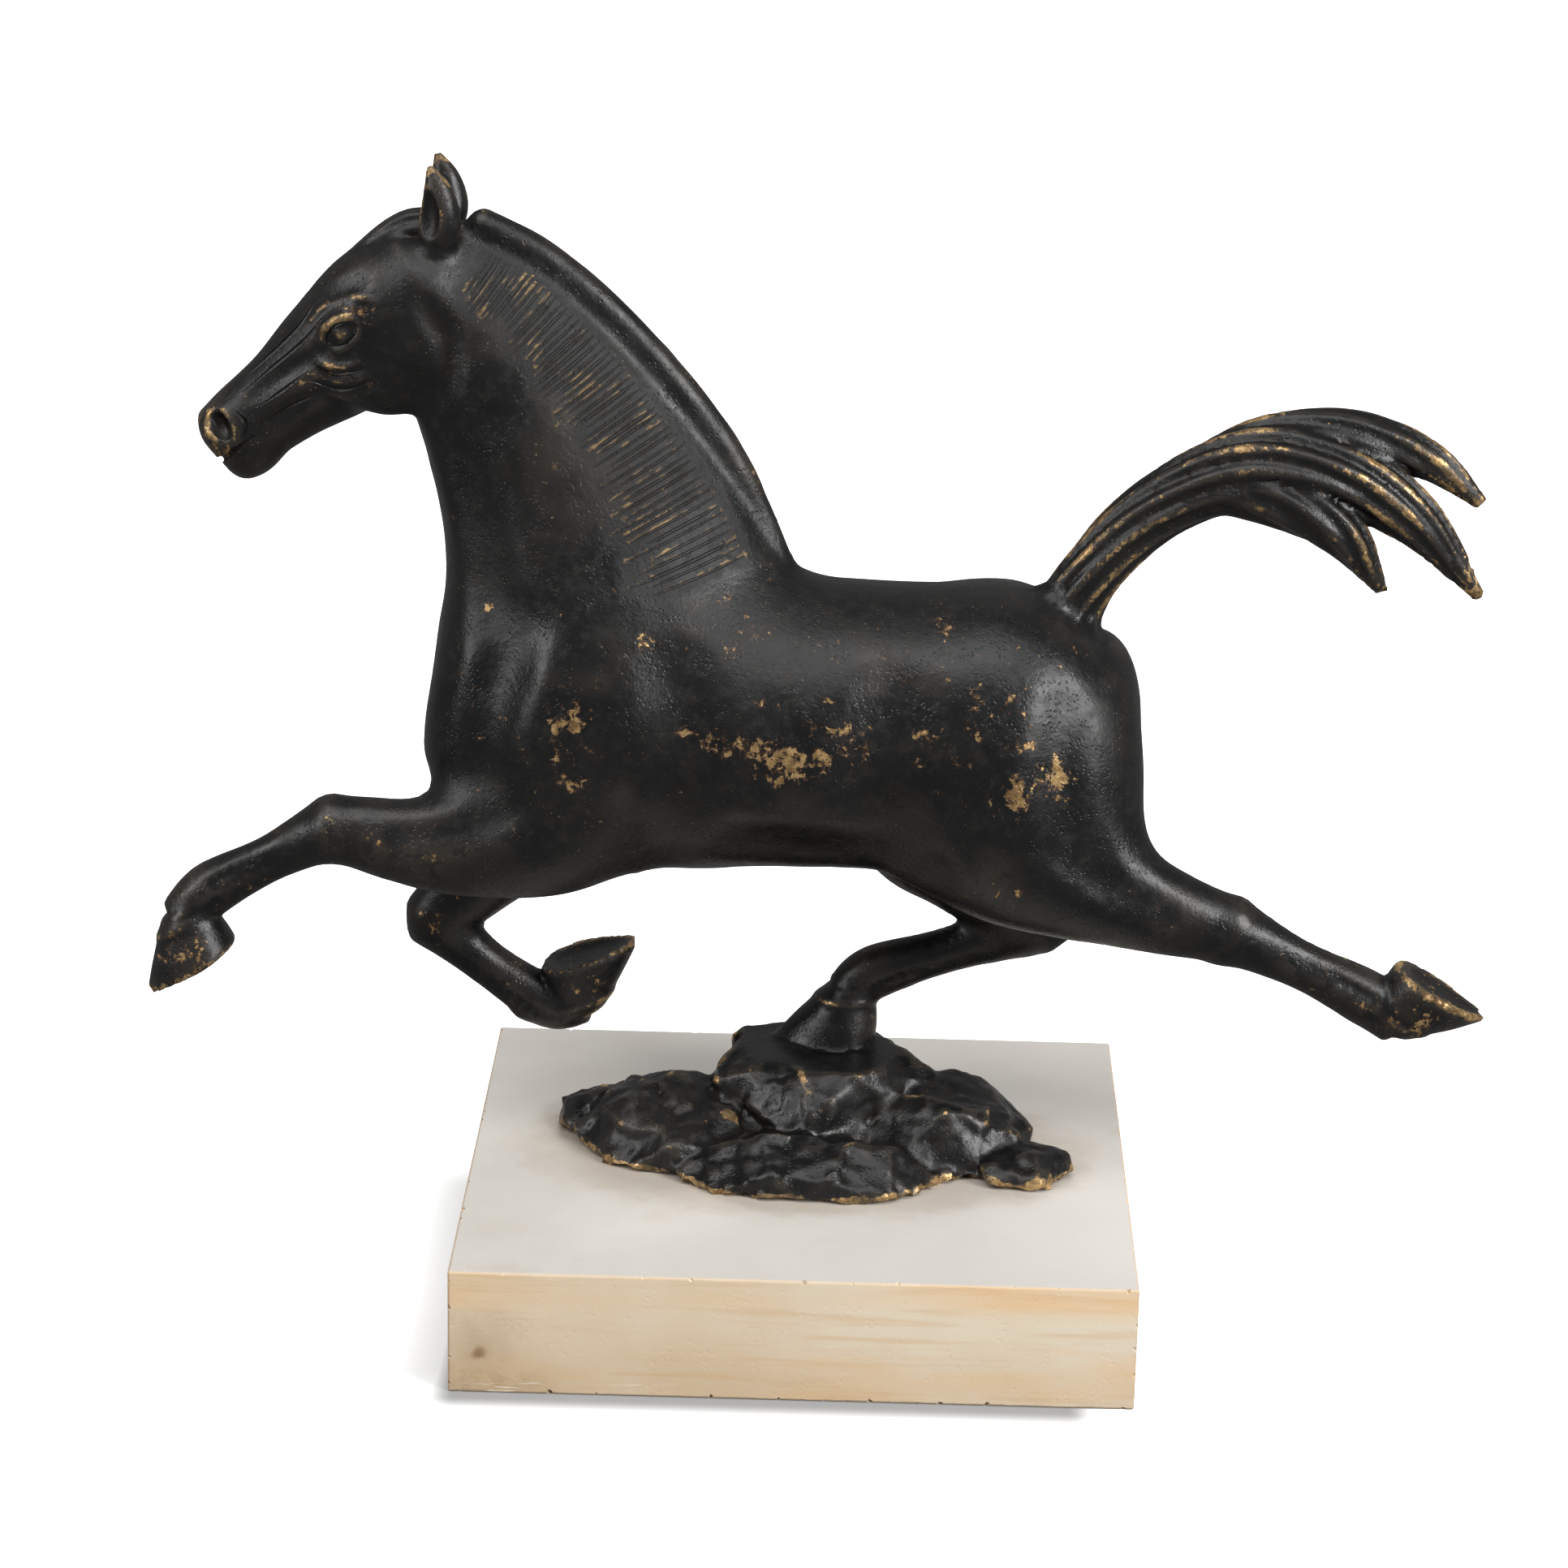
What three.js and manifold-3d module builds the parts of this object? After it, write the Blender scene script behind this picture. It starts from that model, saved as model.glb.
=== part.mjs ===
// A cast bronze horse at full gallop, one hind hoof set down on a low rock, fixed on a pale stone plinth.
// Millimetres, +Z up. The origin is the middle of the plinth's underside.
// The horse faces -X. Its near side, the left one, is -Y.
import * as THREE from "three";
import { ConvexGeometry } from "three/addons/geometries/ConvexGeometry.js";
import { mergeVertices } from "three/addons/utils/BufferGeometryUtils.js";
import Module from "manifold-3d";

const wasm = await Module();
wasm.setup();

// The plinth's driving dimensions. Its arrises are eased by a small chamfer.
const PLINTH = { length: 120, depth: 115, height: 23, chamfer: 0.8 };

// A station is one section of a limb: [x, y, z, half depth, half width].
// Depth lies in the side view, across the limb, and width lies across the horse.
const TORSO = [
  [-56, 0, 111, 20, 16],
  [-45, 0, 110, 27.5, 21.5],
  [-26, 0, 107, 28, 24.5],
  [-4, 0, 106.5, 26.5, 25],
  [18, 0, 106, 26, 24],
  [37, 0, 105.5, 26.5, 22],
  [49, 0, 104, 20.5, 17],
];
const TORSO_ENDS = [9, 10];

const NECK = [
  [-32, 0, 114, 34, 21],
  [-37.5, 0, 137, 28.5, 17.5],
  [-46, 0, 157, 23, 14],
  [-56.5, 0, 173.5, 18, 11.4],
  [-68, 0, 184.5, 13.5, 9.6],
];
const NECK_ENDS = [8, 6];
const NECK_EGG = -0.3; // the crest is narrower than the throat

const HEAD = [
  [-68, 0, 184.5, 11.5, 9.2],
  [-76, 0, 178, 13, 10],
  [-85, 0, 170.5, 11, 8.4],
  [-93, 0, 164, 8.6, 6.8],
  [-99.5, 0, 158.8, 7.7, 6.3],
  [-103.5, 0, 155.6, 6.9, 5.8],
];
const HEAD_ENDS = [5, 3];
const HEAD_EGG = 0.14; // the jaw is narrower than the forehead

// The tail is one long lock from the croup, with a shorter one parting from it above and below.
const TAIL = {
  main: [
    [41, 0, 119, 8, 7.4],
    [48.5, 0, 134, 5.6, 5.6],
    [60, 0, 147, 6, 6],
    [76, 0, 155, 7.2, 6.6],
    [92, 0, 154, 6.8, 6],
    [106, 0, 146.5, 5, 4.4],
    [117.5, 0, 133.5, 1.3, 1.3],
  ],
  upper: [
    [66, 1, 152, 4, 4],
    [79, 2.5, 159, 5, 4.6],
    [94, 3.5, 160.5, 4.8, 4.4],
    [108, 3.5, 156.5, 3.6, 3.2],
    [119, 2.5, 148, 1, 1],
  ],
  lower: [[70, -1, 151, 4, 4], [82, -3, 150, 5, 4.6], [93, -4, 144.5, 4.4, 4], [101, -3, 133.5, 1, 1]],
};
const TAIL_ENDS = [4, 1.2];
const LOCKS = { count: 5, depth: 0.18 }; // flutes around a lock, and their depth as a share of its girth

// Big muscles are ellipsoids, one on each side: [x, y out from the middle, z], radii and a tilt in degrees.
const MUSCLES = {
  shoulder: { at: [-41, 8.5, 104], radii: [18.5, 15, 27], tilt: 14 },
  haunch: { at: [34, 8, 102.5], radii: [24, 16.8, 27.5], tilt: -8 },
};

// Each leg has an upper part down to the knee or hock, a shank from there to the pastern, and a hoof.
// toe and sole are directions in the side view: where the toe points, and where the sole faces.
const LEGS = {
  near_fore: {
    side: -1,
    upper: [
      [-42, 10.5, 97, 19, 11.5],
      [-53, 13, 89, 13, 9.6],
      [-67, 14.5, 86.5, 8.6, 6.9],
      [-84, 14.5, 89, 5.9, 5.3],
    ],
    shank: [
      [-84, 14.5, 89, 5.7, 5.3],
      [-95, 14.5, 83, 4.2, 3.8],
      [-105.5, 14.5, 77, 4.9, 4.4],
      [-111, 14.5, 71.5, 4.4, 4.1],
    ],
    toe: [-0.84, -0.54],
    sole: [0.54, -0.84],
  },
  off_fore: {
    side: 1,
    upper: [
      [-42, 10.5, 97, 18, 11.5],
      [-48, 13, 86, 13, 9.6],
      [-57, 14.5, 74, 8.8, 6.9],
      [-69, 14.5, 61.5, 5.9, 5.3],
    ],
    shank: [
      [-69, 14.5, 61.5, 5.7, 5.3],
      [-58.5, 14.5, 52.5, 4.2, 3.8],
      [-47.5, 14.5, 45.5, 4.9, 4.4],
      [-41, 14.5, 46, 4.4, 4.1],
    ],
    toe: [0.95, 0.31],
    sole: [-0.31, 0.95],
  },
  near_hind: {
    side: -1,
    upper: [
      [31, 10, 98, 21, 12.5],
      [44, 12.5, 87, 16, 11],
      [59, 14, 79, 9.4, 7.4],
      [76, 14, 73.5, 5.9, 5.2],
    ],
    shank: [
      [76, 14, 73.5, 6.2, 5.2],
      [89, 14, 67.5, 4.4, 3.9],
      [101, 14, 61.5, 5, 4.5],
      [106.5, 14, 57.5, 4.4, 4.1],
    ],
    toe: [0.86, -0.5],
    sole: [0.5, 0.86],
  },
  off_hind: {
    side: 1,
    upper: [
      [28, 10, 98, 21, 12.5],
      [23, 12.5, 85, 15.5, 11],
      [30, 14, 74.5, 10, 7.8],
      [43, 14, 64, 5.9, 5.2],
    ],
    shank: [
      [43, 14, 64, 6.2, 5.2],
      [28, 14, 58.5, 4.4, 3.9],
      [13.5, 14, 53.5, 5, 4.5],
      [8, 14, 49, 4.4, 4.1],
    ],
    toe: [-1, 0],
    sole: [0, -1],
  },
};
const HOOF = { height: 9, forward: 4.2, coronet: [5.3, 5], sole: [9.6, 7], egg: 0.32 };
const ERGOT = { behind: 4.4, radii: [2.4, 1.9, 1.9] };
const HOCK = { behind: 3.4, radii: [4, 3.2, 3.6] };

// The head's small forms, by their place in the side view and their distance from the middle.
const CHEEK = { at: [-74.5, 4.6, 172.5], radii: [10.5, 6, 10.5], tilt: 0 };
const EYE = { at: [-82, 8.4, 177.4], radii: [3, 2.3, 2.2], tilt: -38 };
const BROW = { at: [-81.4, 7.2, 180.4], radii: [5.4, 3, 2], tilt: -38 };
const FLARE = { at: [-102.6, 3.6, 159.6], radii: [4.6, 3.6, 3.8], tilt: -38 };
const NOSTRIL = { at: [-104.4, 6.8, 160], radii: [3.1, 2.5, 2.2], tilt: 60 };
const CHIN = { at: [-98.6, 0, 153.4], radii: [5, 4.2, 3.6], tilt: -38 };
const MOUTH = { at: [-103.5, 0, 153], size: [12, 16, 1], tilt: 38 };
const EAR = [
  [-66, 5.4, 192, 3, 2.6],
  [-65.2, 6.4, 197, 3.7, 2.9],
  [-65.6, 6.9, 202, 2.7, 2.1],
  [-66.8, 6.9, 206, 0.8, 0.7],
];
const EAR_HOLLOW = { at: [-67.9, 9.2, 198.6], radii: [2.6, 2.3, 4.9], tilt: -6 };
const FORELOCK = [
  [-64, 0, 194, 3.4, 3.6],
  [-71, 0, 194.5, 3.4, 3.6],
  [-78, 0, 190, 2.8, 3],
  [-84, 0, 184, 1.5, 1.7],
];

// The hogged mane is a low ridge along the crest, and its hair is hatched on both sides of the neck.
const MANE = { rise: 3.8, halfWidth: 3, from: 0.04, stations: 7 };
const HATCH = {
  strokes: 12,
  width: 1.1,
  depth: 0.8,
  from: 0.2,
  to: 0.93,
  crest: 0.84,
  throat: 0.22,
  slant: 0.02,
};

// The rock is a heap of faceted boulders, flat below, with a level ledge where the hoof stands.
const LEDGE = LEGS.off_hind.shank.at(-1)[2] - HOOF.height;
const BOULDERS = [
  { at: [3, 10, 28], radii: [25, 21, 20], turn: 20 },
  { at: [-21, 2, 24], radii: [22, 18, 12.5], turn: 75 },
  { at: [25, 2, 24], radii: [20, 18, 13.5], turn: 140 },
  { at: [2, -14, 23], radii: [27, 13, 10], turn: 200 },
  { at: [-37, 12, 23], radii: [11, 11, 7.5], turn: 260 },
  { at: [40, -8, 23], radii: [12, 10, 6.5], turn: 320 },
];
const BOULDER_POINTS = 16;

const RAD = Math.PI / 180;
const ACROSS = new THREE.Vector3(0, 1, 0);

// A closed geometry as a solid that can be joined and cut.
function solid(geometry) {
  for (const name of Object.keys(geometry.attributes)) {
    if (name !== "position") geometry.deleteAttribute(name);
  }
  const merged = mergeVertices(geometry, 1e-4);
  return new wasm.Manifold(
    new wasm.Mesh({
      numProp: 3,
      vertProperties: new Float32Array(merged.attributes.position.array),
      triVerts: new Uint32Array(merged.index.array),
    }),
  );
}

// A solid as a geometry again.
function geometryOf(body) {
  const mesh = body.getMesh();
  const geometry = new THREE.BufferGeometry();
  geometry.setAttribute("position", new THREE.BufferAttribute(mesh.vertProperties, 3));
  geometry.setIndex(new THREE.BufferAttribute(mesh.triVerts, 1));
  geometry.computeVertexNormals();
  return geometry;
}

const join = (bodies) => bodies.reduce((whole, body) => whole.add(body));

// A smooth line through points in space.
const through = (points) => {
  return new THREE.CatmullRomCurve3(points.map((p) => new THREE.Vector3(...p)), false, "catmullrom");
};
const pathOf = (stations) => through(stations.map(([x, y, z]) => [x, y, z]));
const girthOf = (stations) => through(stations.map(([, , , depth, width]) => [depth, width, 0]));

// One ring of a skin, an ellipse whose width shrinks towards +deep by egg.
function ring({ centre, deep, wide, depth, width, egg = 0, flute = () => 1 }, sides) {
  return Array.from({ length: sides }, (_, k) => {
    const angle = (2 * Math.PI * k) / sides;
    const swell = flute(angle);
    const along = Math.cos(angle);
    return centre
      .clone()
      .addScaledVector(deep, depth * along * swell)
      .addScaledVector(wide, width * (1 - egg * along) * Math.sin(angle) * swell);
  });
}

// A closed solid over a row of rings. Each end is drawn to a point.
function skin(rings, first, last) {
  const sides = rings[0].length;
  const points = [...rings.flat(), first, last];
  const start = points.length - 2;
  const end = points.length - 1;
  const faces = [];
  for (let k = 0; k < sides; k++) {
    const next = (k + 1) % sides;
    faces.push(start, k, next);
    for (let r = 0; r < rings.length - 1; r++) {
      const [a, b] = [r * sides + k, r * sides + next];
      const [c, d] = [a + sides, b + sides];
      faces.push(a, c, b, b, c, d);
    }
    const base = (rings.length - 1) * sides;
    faces.push(end, base + next, base + k);
  }
  const geometry = new THREE.BufferGeometry().setFromPoints(points);
  geometry.setIndex(faces);
  return solid(geometry);
}

// A limb through its stations, smooth along its length, with rounded ends.
function limb(stations, { steps = 2, sides = 12, ends = [2, 2], caps = [50], egg = 0, flute } = {}) {
  const [path, girth] = [pathOf(stations), girthOf(stations)];
  const section = (u, push = 0, scale = 1) => {
    const along = path.getTangent(u);
    const wide = ACROSS.clone().addScaledVector(along, -along.dot(ACROSS)).normalize();
    const deep = along.clone().cross(wide);
    const size = girth.getPoint(u);
    const centre = path.getPoint(u).addScaledVector(along, push);
    return ring({ centre, deep, wide, depth: size.x * scale, width: size.y * scale, egg, flute }, sides);
  };
  const cap = (u, length) => caps.map((a) => section(u, length * Math.sin(a * RAD), Math.cos(a * RAD)));
  const pole = (u, push) => path.getPoint(u).addScaledVector(path.getTangent(u), push);
  const count = (stations.length - 1) * steps;
  const middle = Array.from({ length: count + 1 }, (_, i) => section(i / count));
  const rings = [...cap(0, -ends[0]).reverse(), ...middle, ...cap(1, ends[1])];
  return skin(rings, pole(0, -ends[0]), pole(1, ends[1]));
}

// An ellipsoid turned by its tilt in the side view.
function lump({ at, radii, tilt = 0 }, side = 1, sides = 16) {
  const ball = new THREE.SphereGeometry(1, sides, Math.round(sides * 0.6));
  ball.rotateX(Math.PI / 2).scale(...radii).rotateY(tilt * RAD);
  return solid(ball.translate(at[0], side * at[1], at[2]));
}

const onSide = (stations, side) => stations.map(([x, y, z, ...girth]) => [x, side * y, z, ...girth]);
const bothSides = (form, sides) => [lump(form, -1, sides), lump(form, 1, sides)];

// The hoof spreads from the coronet to a flat sole, and its toe runs forward.
function hoof({ shank, side, toe, sole }) {
  const [x, y, z] = shank.at(-1);
  const top = new THREE.Vector3(x, side * y, z);
  const deep = new THREE.Vector3(toe[0], 0, toe[1]).normalize();
  const down = new THREE.Vector3(sole[0], 0, sole[1]).normalize();
  const wide = deep.clone().cross(down);
  const level = (share, size, egg) => {
    const centre = top.clone().addScaledVector(down, share * HOOF.height);
    centre.addScaledVector(deep, share * HOOF.forward);
    return { centre, deep, wide, depth: size[0], width: size[1], egg };
  };
  const crown = HOOF.coronet.map((r) => r * 0.72);
  const levels = [level(-0.2, crown, 0), level(0, HOOF.coronet, 0), level(1, HOOF.sole, HOOF.egg)];
  const rings = levels.map((one) => ring(one, 14));
  return skin(rings, levels[0].centre, levels.at(-1).centre);
}

// A small knob behind a joint of the leg, such as the tuft of the fetlock or the point of the hock.
function knob([x, y, z], { toe, side }, { behind, radii }) {
  return lump({ at: [x - toe[0] * behind, y, z - toe[1] * behind], radii }, side, 8);
}

function leg(one) {
  const parts = [
    limb(onSide(one.upper, one.side), { sides: 14, ends: [8, 3.5] }),
    limb(onSide(one.shank, one.side), { ends: [3.8, 1.5] }),
    hoof(one),
    knob(one.shank.at(-2), one, ERGOT),
  ];
  return join(parts);
}

function ear(side) {
  const shell = limb(onSide(EAR, side), { sides: 8, ends: [1, 0.6] });
  return shell.subtract(lump(EAR_HOLLOW, side, 10));
}

function mouth() {
  const [length, width, height] = MOUTH.size;
  const slot = new THREE.BoxGeometry(length, width, height).rotateY(-MOUTH.tilt * RAD);
  return solid(slot.translate(...MOUTH.at));
}

function head() {
  const skull = limb(HEAD, { sides: 16, ends: HEAD_ENDS, caps: [30, 60], egg: HEAD_EGG });
  const pairs = [...bothSides(CHEEK, 12), ...[BROW, EYE, FLARE].flatMap((form) => bothSides(form, 8))];
  const cuts = [...bothSides(NOSTRIL, 8), mouth()];
  const whole = join([skull, lump(CHIN, 1, 10), ...pairs]).subtract(join(cuts));
  return join([whole, ear(-1), ear(1), limb(FORELOCK, { sides: 8, ends: [2, 1] })]);
}

// A point on the neck's skin, by its share of the way from the withers to the poll.
// deep is -1 at the crest and 1 at the throat.
function onNeck(share, deep, side) {
  const along = pathOf(NECK).getTangent(share);
  const inward = along.clone().cross(ACROSS);
  const { x: depth, y: width } = girthOf(NECK).getPoint(share);
  const out = width * (1 - NECK_EGG * deep) * Math.sqrt(1 - deep * deep);
  const centre = pathOf(NECK).getPoint(share);
  return centre.addScaledVector(inward, depth * deep).addScaledVector(ACROSS, side * out);
}

// The mane rises out of the withers and keeps its full height up to the poll.
function mane() {
  const stations = Array.from({ length: MANE.stations }, (_, i) => {
    const crest = onNeck(MANE.from + ((1 - MANE.from) * i) / (MANE.stations - 1), -1, 1);
    const fullness = Math.min(1, (i + 1) / 3);
    return [crest.x, 0, crest.z, MANE.rise * fullness, MANE.halfWidth * fullness];
  });
  return limb(stations, { sides: 8, ends: [5, 3] });
}

// One stroke of the hatching: a thin wedge bent over the side of the neck, from crest towards throat.
function stroke(share, side) {
  const points = 4;
  const spine = Array.from({ length: points }, (_, i) => {
    const t = i / (points - 1);
    const deep = -HATCH.crest + (HATCH.crest - HATCH.throat) * t;
    const swell = Math.sin(Math.PI * (0.12 + 0.76 * t));
    return { centre: onNeck(share - HATCH.slant * t, deep, side), swell };
  });
  const along = spine[points - 1].centre.clone().sub(spine[0].centre).normalize();
  const out = ACROSS.clone().multiplyScalar(side);
  const over = along.clone().cross(out).normalize();
  const rings = spine.map(({ centre, swell }) => [
    centre.clone().addScaledVector(out, -HATCH.depth * swell),
    centre.clone().addScaledVector(out, HATCH.depth).addScaledVector(over, HATCH.width * swell),
    centre.clone().addScaledVector(out, HATCH.depth).addScaledVector(over, -HATCH.width * swell),
  ]);
  return skin(rings, spine[0].centre, spine[points - 1].centre);
}

function hatching() {
  const shares = Array.from({ length: HATCH.strokes }, (_, i) => {
    return HATCH.from + ((HATCH.to - HATCH.from) * i) / (HATCH.strokes - 1);
  });
  return join([-1, 1].flatMap((side) => shares.map((share) => stroke(share, side))));
}

function tail() {
  const flute = (angle) => 1 - LOCKS.depth * (0.5 - 0.5 * Math.cos(LOCKS.count * angle));
  const lock = (stations) => limb(stations, { sides: LOCKS.count * 2, ends: TAIL_ENDS, flute });
  return join(Object.values(TAIL).map(lock));
}

// A boulder: the hull of points spread evenly over an ellipsoid, turned about the vertical.
function boulder({ at, radii, turn }) {
  const golden = Math.PI * (3 - Math.sqrt(5));
  const points = Array.from({ length: BOULDER_POINTS }, (_, i) => {
    const height = 1 - (2 * (i + 0.5)) / BOULDER_POINTS;
    const round = Math.sqrt(1 - height * height);
    const angle = golden * i + turn * RAD;
    const [x, y] = [round * Math.cos(angle), round * Math.sin(angle)];
    return new THREE.Vector3(radii[0] * x, radii[1] * y, radii[2] * height);
  });
  return solid(new ConvexGeometry(points).translate(...at));
}

function rock() {
  const heap = join(BOULDERS.map(boulder));
  const room = new THREE.BoxGeometry(200, 200, LEDGE - PLINTH.height);
  return heap.intersect(solid(room.translate(0, 0, (LEDGE + PLINTH.height) / 2)));
}

function casting() {
  const hocks = [LEGS.near_hind, LEGS.off_hind].map((one) => knob(one.shank[0], one, HOCK));
  const body = [
    limb(TORSO, { sides: 22, ends: TORSO_ENDS, caps: [30, 60] }),
    ...bothSides(MUSCLES.shoulder, 15),
    ...bothSides(MUSCLES.haunch, 15),
    limb(NECK, { sides: 18, steps: 3, ends: NECK_ENDS, egg: NECK_EGG }).subtract(hatching()),
  ];
  return join([...body, mane(), head(), tail(), ...Object.values(LEGS).map(leg), ...hocks, rock()]);
}

function plinth() {
  const { length, depth, height, chamfer } = PLINTH;
  const outline = new THREE.Shape();
  const [hx, hy] = [length / 2 - chamfer, depth / 2 - chamfer];
  outline.moveTo(-hx, -hy).lineTo(hx, -hy).lineTo(hx, hy).lineTo(-hx, hy).closePath();
  const block = new THREE.ExtrudeGeometry(outline, {
    depth: height - 2 * chamfer,
    bevelThickness: chamfer,
    bevelSize: chamfer,
    bevelSegments: 1,
  });
  return block.translate(0, 0, chamfer);
}

const bronze = new THREE.MeshStandardMaterial({ color: 0x26211c, roughness: 0.48, metalness: 0.75 });
const stone = new THREE.MeshStandardMaterial({ color: 0xe6dccb, roughness: 0.4, metalness: 0 });

const horse = new THREE.Mesh(geometryOf(casting()), bronze);
horse.name = "horse_casting";
const base = new THREE.Mesh(plinth(), stone);
base.name = "stone_plinth";

const figure = new THREE.Group();
figure.add(base, horse);
export default figure;
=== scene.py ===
# The finish of a small cast bronze horse at full gallop, on a low rock, fixed on a pale stone plinth.
import itertools
import math

import bmesh
import bpy
import numpy as np
from mathutils import Matrix, Vector


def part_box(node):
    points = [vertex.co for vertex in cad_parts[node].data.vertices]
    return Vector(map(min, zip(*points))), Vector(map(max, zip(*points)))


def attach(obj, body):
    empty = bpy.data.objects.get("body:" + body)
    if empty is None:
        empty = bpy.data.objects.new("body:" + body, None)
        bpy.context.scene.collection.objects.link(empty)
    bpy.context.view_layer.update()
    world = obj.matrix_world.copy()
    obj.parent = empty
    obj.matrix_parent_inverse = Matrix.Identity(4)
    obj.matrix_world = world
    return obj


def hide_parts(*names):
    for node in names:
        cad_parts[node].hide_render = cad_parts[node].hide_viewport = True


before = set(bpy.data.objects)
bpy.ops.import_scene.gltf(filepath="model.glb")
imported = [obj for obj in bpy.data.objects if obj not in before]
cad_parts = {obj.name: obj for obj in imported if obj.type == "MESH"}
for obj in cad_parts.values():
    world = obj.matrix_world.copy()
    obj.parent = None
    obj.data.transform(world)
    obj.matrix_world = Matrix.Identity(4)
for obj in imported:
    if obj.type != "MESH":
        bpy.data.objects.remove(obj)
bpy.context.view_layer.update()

MM = 0.001
FAR = 1000.0
NEAR_SIDE, OFF_SIDE = -1, 1
ACROSS = np.array([0.0, 1.0, 0.0])

# The plinth's top and half sizes, in millimetres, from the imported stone.
stone_low, stone_high = (np.array(corner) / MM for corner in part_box("stone_plinth"))
PLINTH_TOP = float(stone_high[2])
ARRIS = 0.5

# Sizes of the horse, in millimetres. A station is one section of a limb: [x, y, z, half depth, half width].
TORSO = [
    [-56, 0, 111, 20, 16],
    [-45, 0, 110, 27.5, 21.5],
    [-26, 0, 107, 28, 24.5],
    [-4, 0, 106.5, 26.5, 25],
    [18, 0, 106, 26, 24],
    [37, 0, 105.5, 26.5, 22],
    [49, 0, 104, 20.5, 17],
]
NECK = [
    [-32, 0, 114, 34, 21],
    [-37.5, 0, 137, 28.5, 17.5],
    [-46, 0, 157, 23, 14],
    [-56.5, 0, 173.5, 18, 11.4],
    [-68, 0, 184.5, 13.5, 9.6],
]
NECK_EGG = -0.3
HEAD = [
    [-68, 0, 184.5, 11.5, 9.2],
    [-76, 0, 178, 13, 10],
    [-85, 0, 170.5, 11, 8.4],
    [-93, 0, 164, 8.6, 6.8],
    [-99.5, 0, 158.8, 7.7, 6.3],
    [-103.5, 0, 155.6, 6.9, 5.8],
]
HEAD_EGG = 0.14
TAIL = {
    "main": [
        [41, 0, 119, 8, 7.4],
        [48.5, 0, 134, 5.6, 5.6],
        [60, 0, 147, 6, 6],
        [76, 0, 155, 7.2, 6.6],
        [92, 0, 154, 6.8, 6],
        [106, 0, 146.5, 5, 4.4],
        [117.5, 0, 133.5, 1.3, 1.3],
    ],
    "upper": [[66, 1, 152, 4, 4], [79, 2.5, 159, 5, 4.6], [94, 3.5, 160.5, 4.8, 4.4],
              [108, 3.5, 156.5, 3.6, 3.2], [119, 2.5, 148, 1, 1]],
    "lower": [[70, -1, 151, 4, 4], [82, -3, 150, 5, 4.6], [93, -4, 144.5, 4.4, 4], [101, -3, 133.5, 1, 1]],
}
LOCK_STRANDS = {"main": 10, "upper": 7, "lower": 7}
STRAND_DEPTH = 0.14
STRAND_TWIST = 2.2
STRAND_SHARPNESS = 1.4
TAIL_FILLETS = {"main": 3, "upper": 1.3, "lower": 1.3}

# Muscles are ellipsoids: place, radii, tilt in degrees in the side view, and the fillet that ties them in.
MUSCLES = [
    {"at": [-41, 8.5, 104], "radii": [18.5, 15, 27], "tilt": 14, "fillet": 4},
    {"at": [34, 8, 102.5], "radii": [24, 16.8, 27.5], "tilt": -8, "fillet": 4},
    {"at": [-58, 7.6, 106], "radii": [9.5, 9, 15], "tilt": 12, "fillet": 3},
    {"at": [49, 8.5, 99], "radii": [10, 9.5, 19], "tilt": -14, "fillet": 4},
]

# Each leg runs from the body to the knee or hock, on down the shank to the pastern, and ends in its hoof.
LEGS = {
    "near_fore": {
        "side": NEAR_SIDE,
        "upper": [[-42, 10.5, 97, 19, 11.5], [-53, 13, 89, 13, 9.6], [-67, 14.5, 86.5, 8.6, 6.9],
                  [-84, 14.5, 89, 5.9, 5.3]],
        "shank": [[-84, 14.5, 89, 5.7, 5.3], [-95, 14.5, 83, 4.2, 3.8], [-105.5, 14.5, 77, 4.9, 4.4],
                  [-111, 14.5, 71.5, 4.4, 4.1]],
        "toe": [-0.84, -0.54],
        "sole": [0.54, -0.84],
    },
    "off_fore": {
        "side": OFF_SIDE,
        "upper": [[-42, 10.5, 97, 18, 11.5], [-48, 13, 86, 13, 9.6], [-57, 14.5, 74, 8.8, 6.9],
                  [-69, 14.5, 61.5, 5.9, 5.3]],
        "shank": [[-69, 14.5, 61.5, 5.7, 5.3], [-58.5, 14.5, 52.5, 4.2, 3.8], [-47.5, 14.5, 45.5, 4.9, 4.4],
                  [-41, 14.5, 46, 4.4, 4.1]],
        "toe": [0.95, 0.31],
        "sole": [-0.31, 0.95],
    },
    "near_hind": {
        "side": NEAR_SIDE,
        "upper": [[31, 10, 98, 21, 12.5], [44, 12.5, 87, 16, 11], [59, 14, 79, 9.4, 7.4],
                  [76, 14, 73.5, 5.9, 5.2]],
        "shank": [[76, 14, 73.5, 6.2, 5.2], [89, 14, 67.5, 4.4, 3.9], [101, 14, 61.5, 5, 4.5],
                  [106.5, 14, 57.5, 4.4, 4.1]],
        "toe": [0.86, -0.5],
        "sole": [0.5, 0.86],
    },
    "off_hind": {
        "side": OFF_SIDE,
        "upper": [[28, 10, 98, 21, 12.5], [23, 12.5, 85, 15.5, 11], [30, 14, 74.5, 10, 7.8],
                  [43, 14, 64, 5.9, 5.2]],
        "shank": [[43, 14, 64, 6.2, 5.2], [28, 14, 58.5, 4.4, 3.9], [13.5, 14, 53.5, 5, 4.5],
                  [8, 14, 49, 4.4, 4.1]],
        "toe": [-1, 0],
        "sole": [0, -1],
    },
}
HOOF = {"height": 9, "forward": 4.2, "coronet": [5.3, 5], "sole": [9.6, 7], "egg": 0.32, "dish": 0.9,
        "dish_spread": 1.7, "edge": 0.8, "above": 0.2, "swell": 0.04, "band": 0.08, "band_at": 0.04,
        "band_width": 0.09}
ERGOT = {"behind": 4.4, "radii": [2.4, 1.9, 1.9]}
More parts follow.
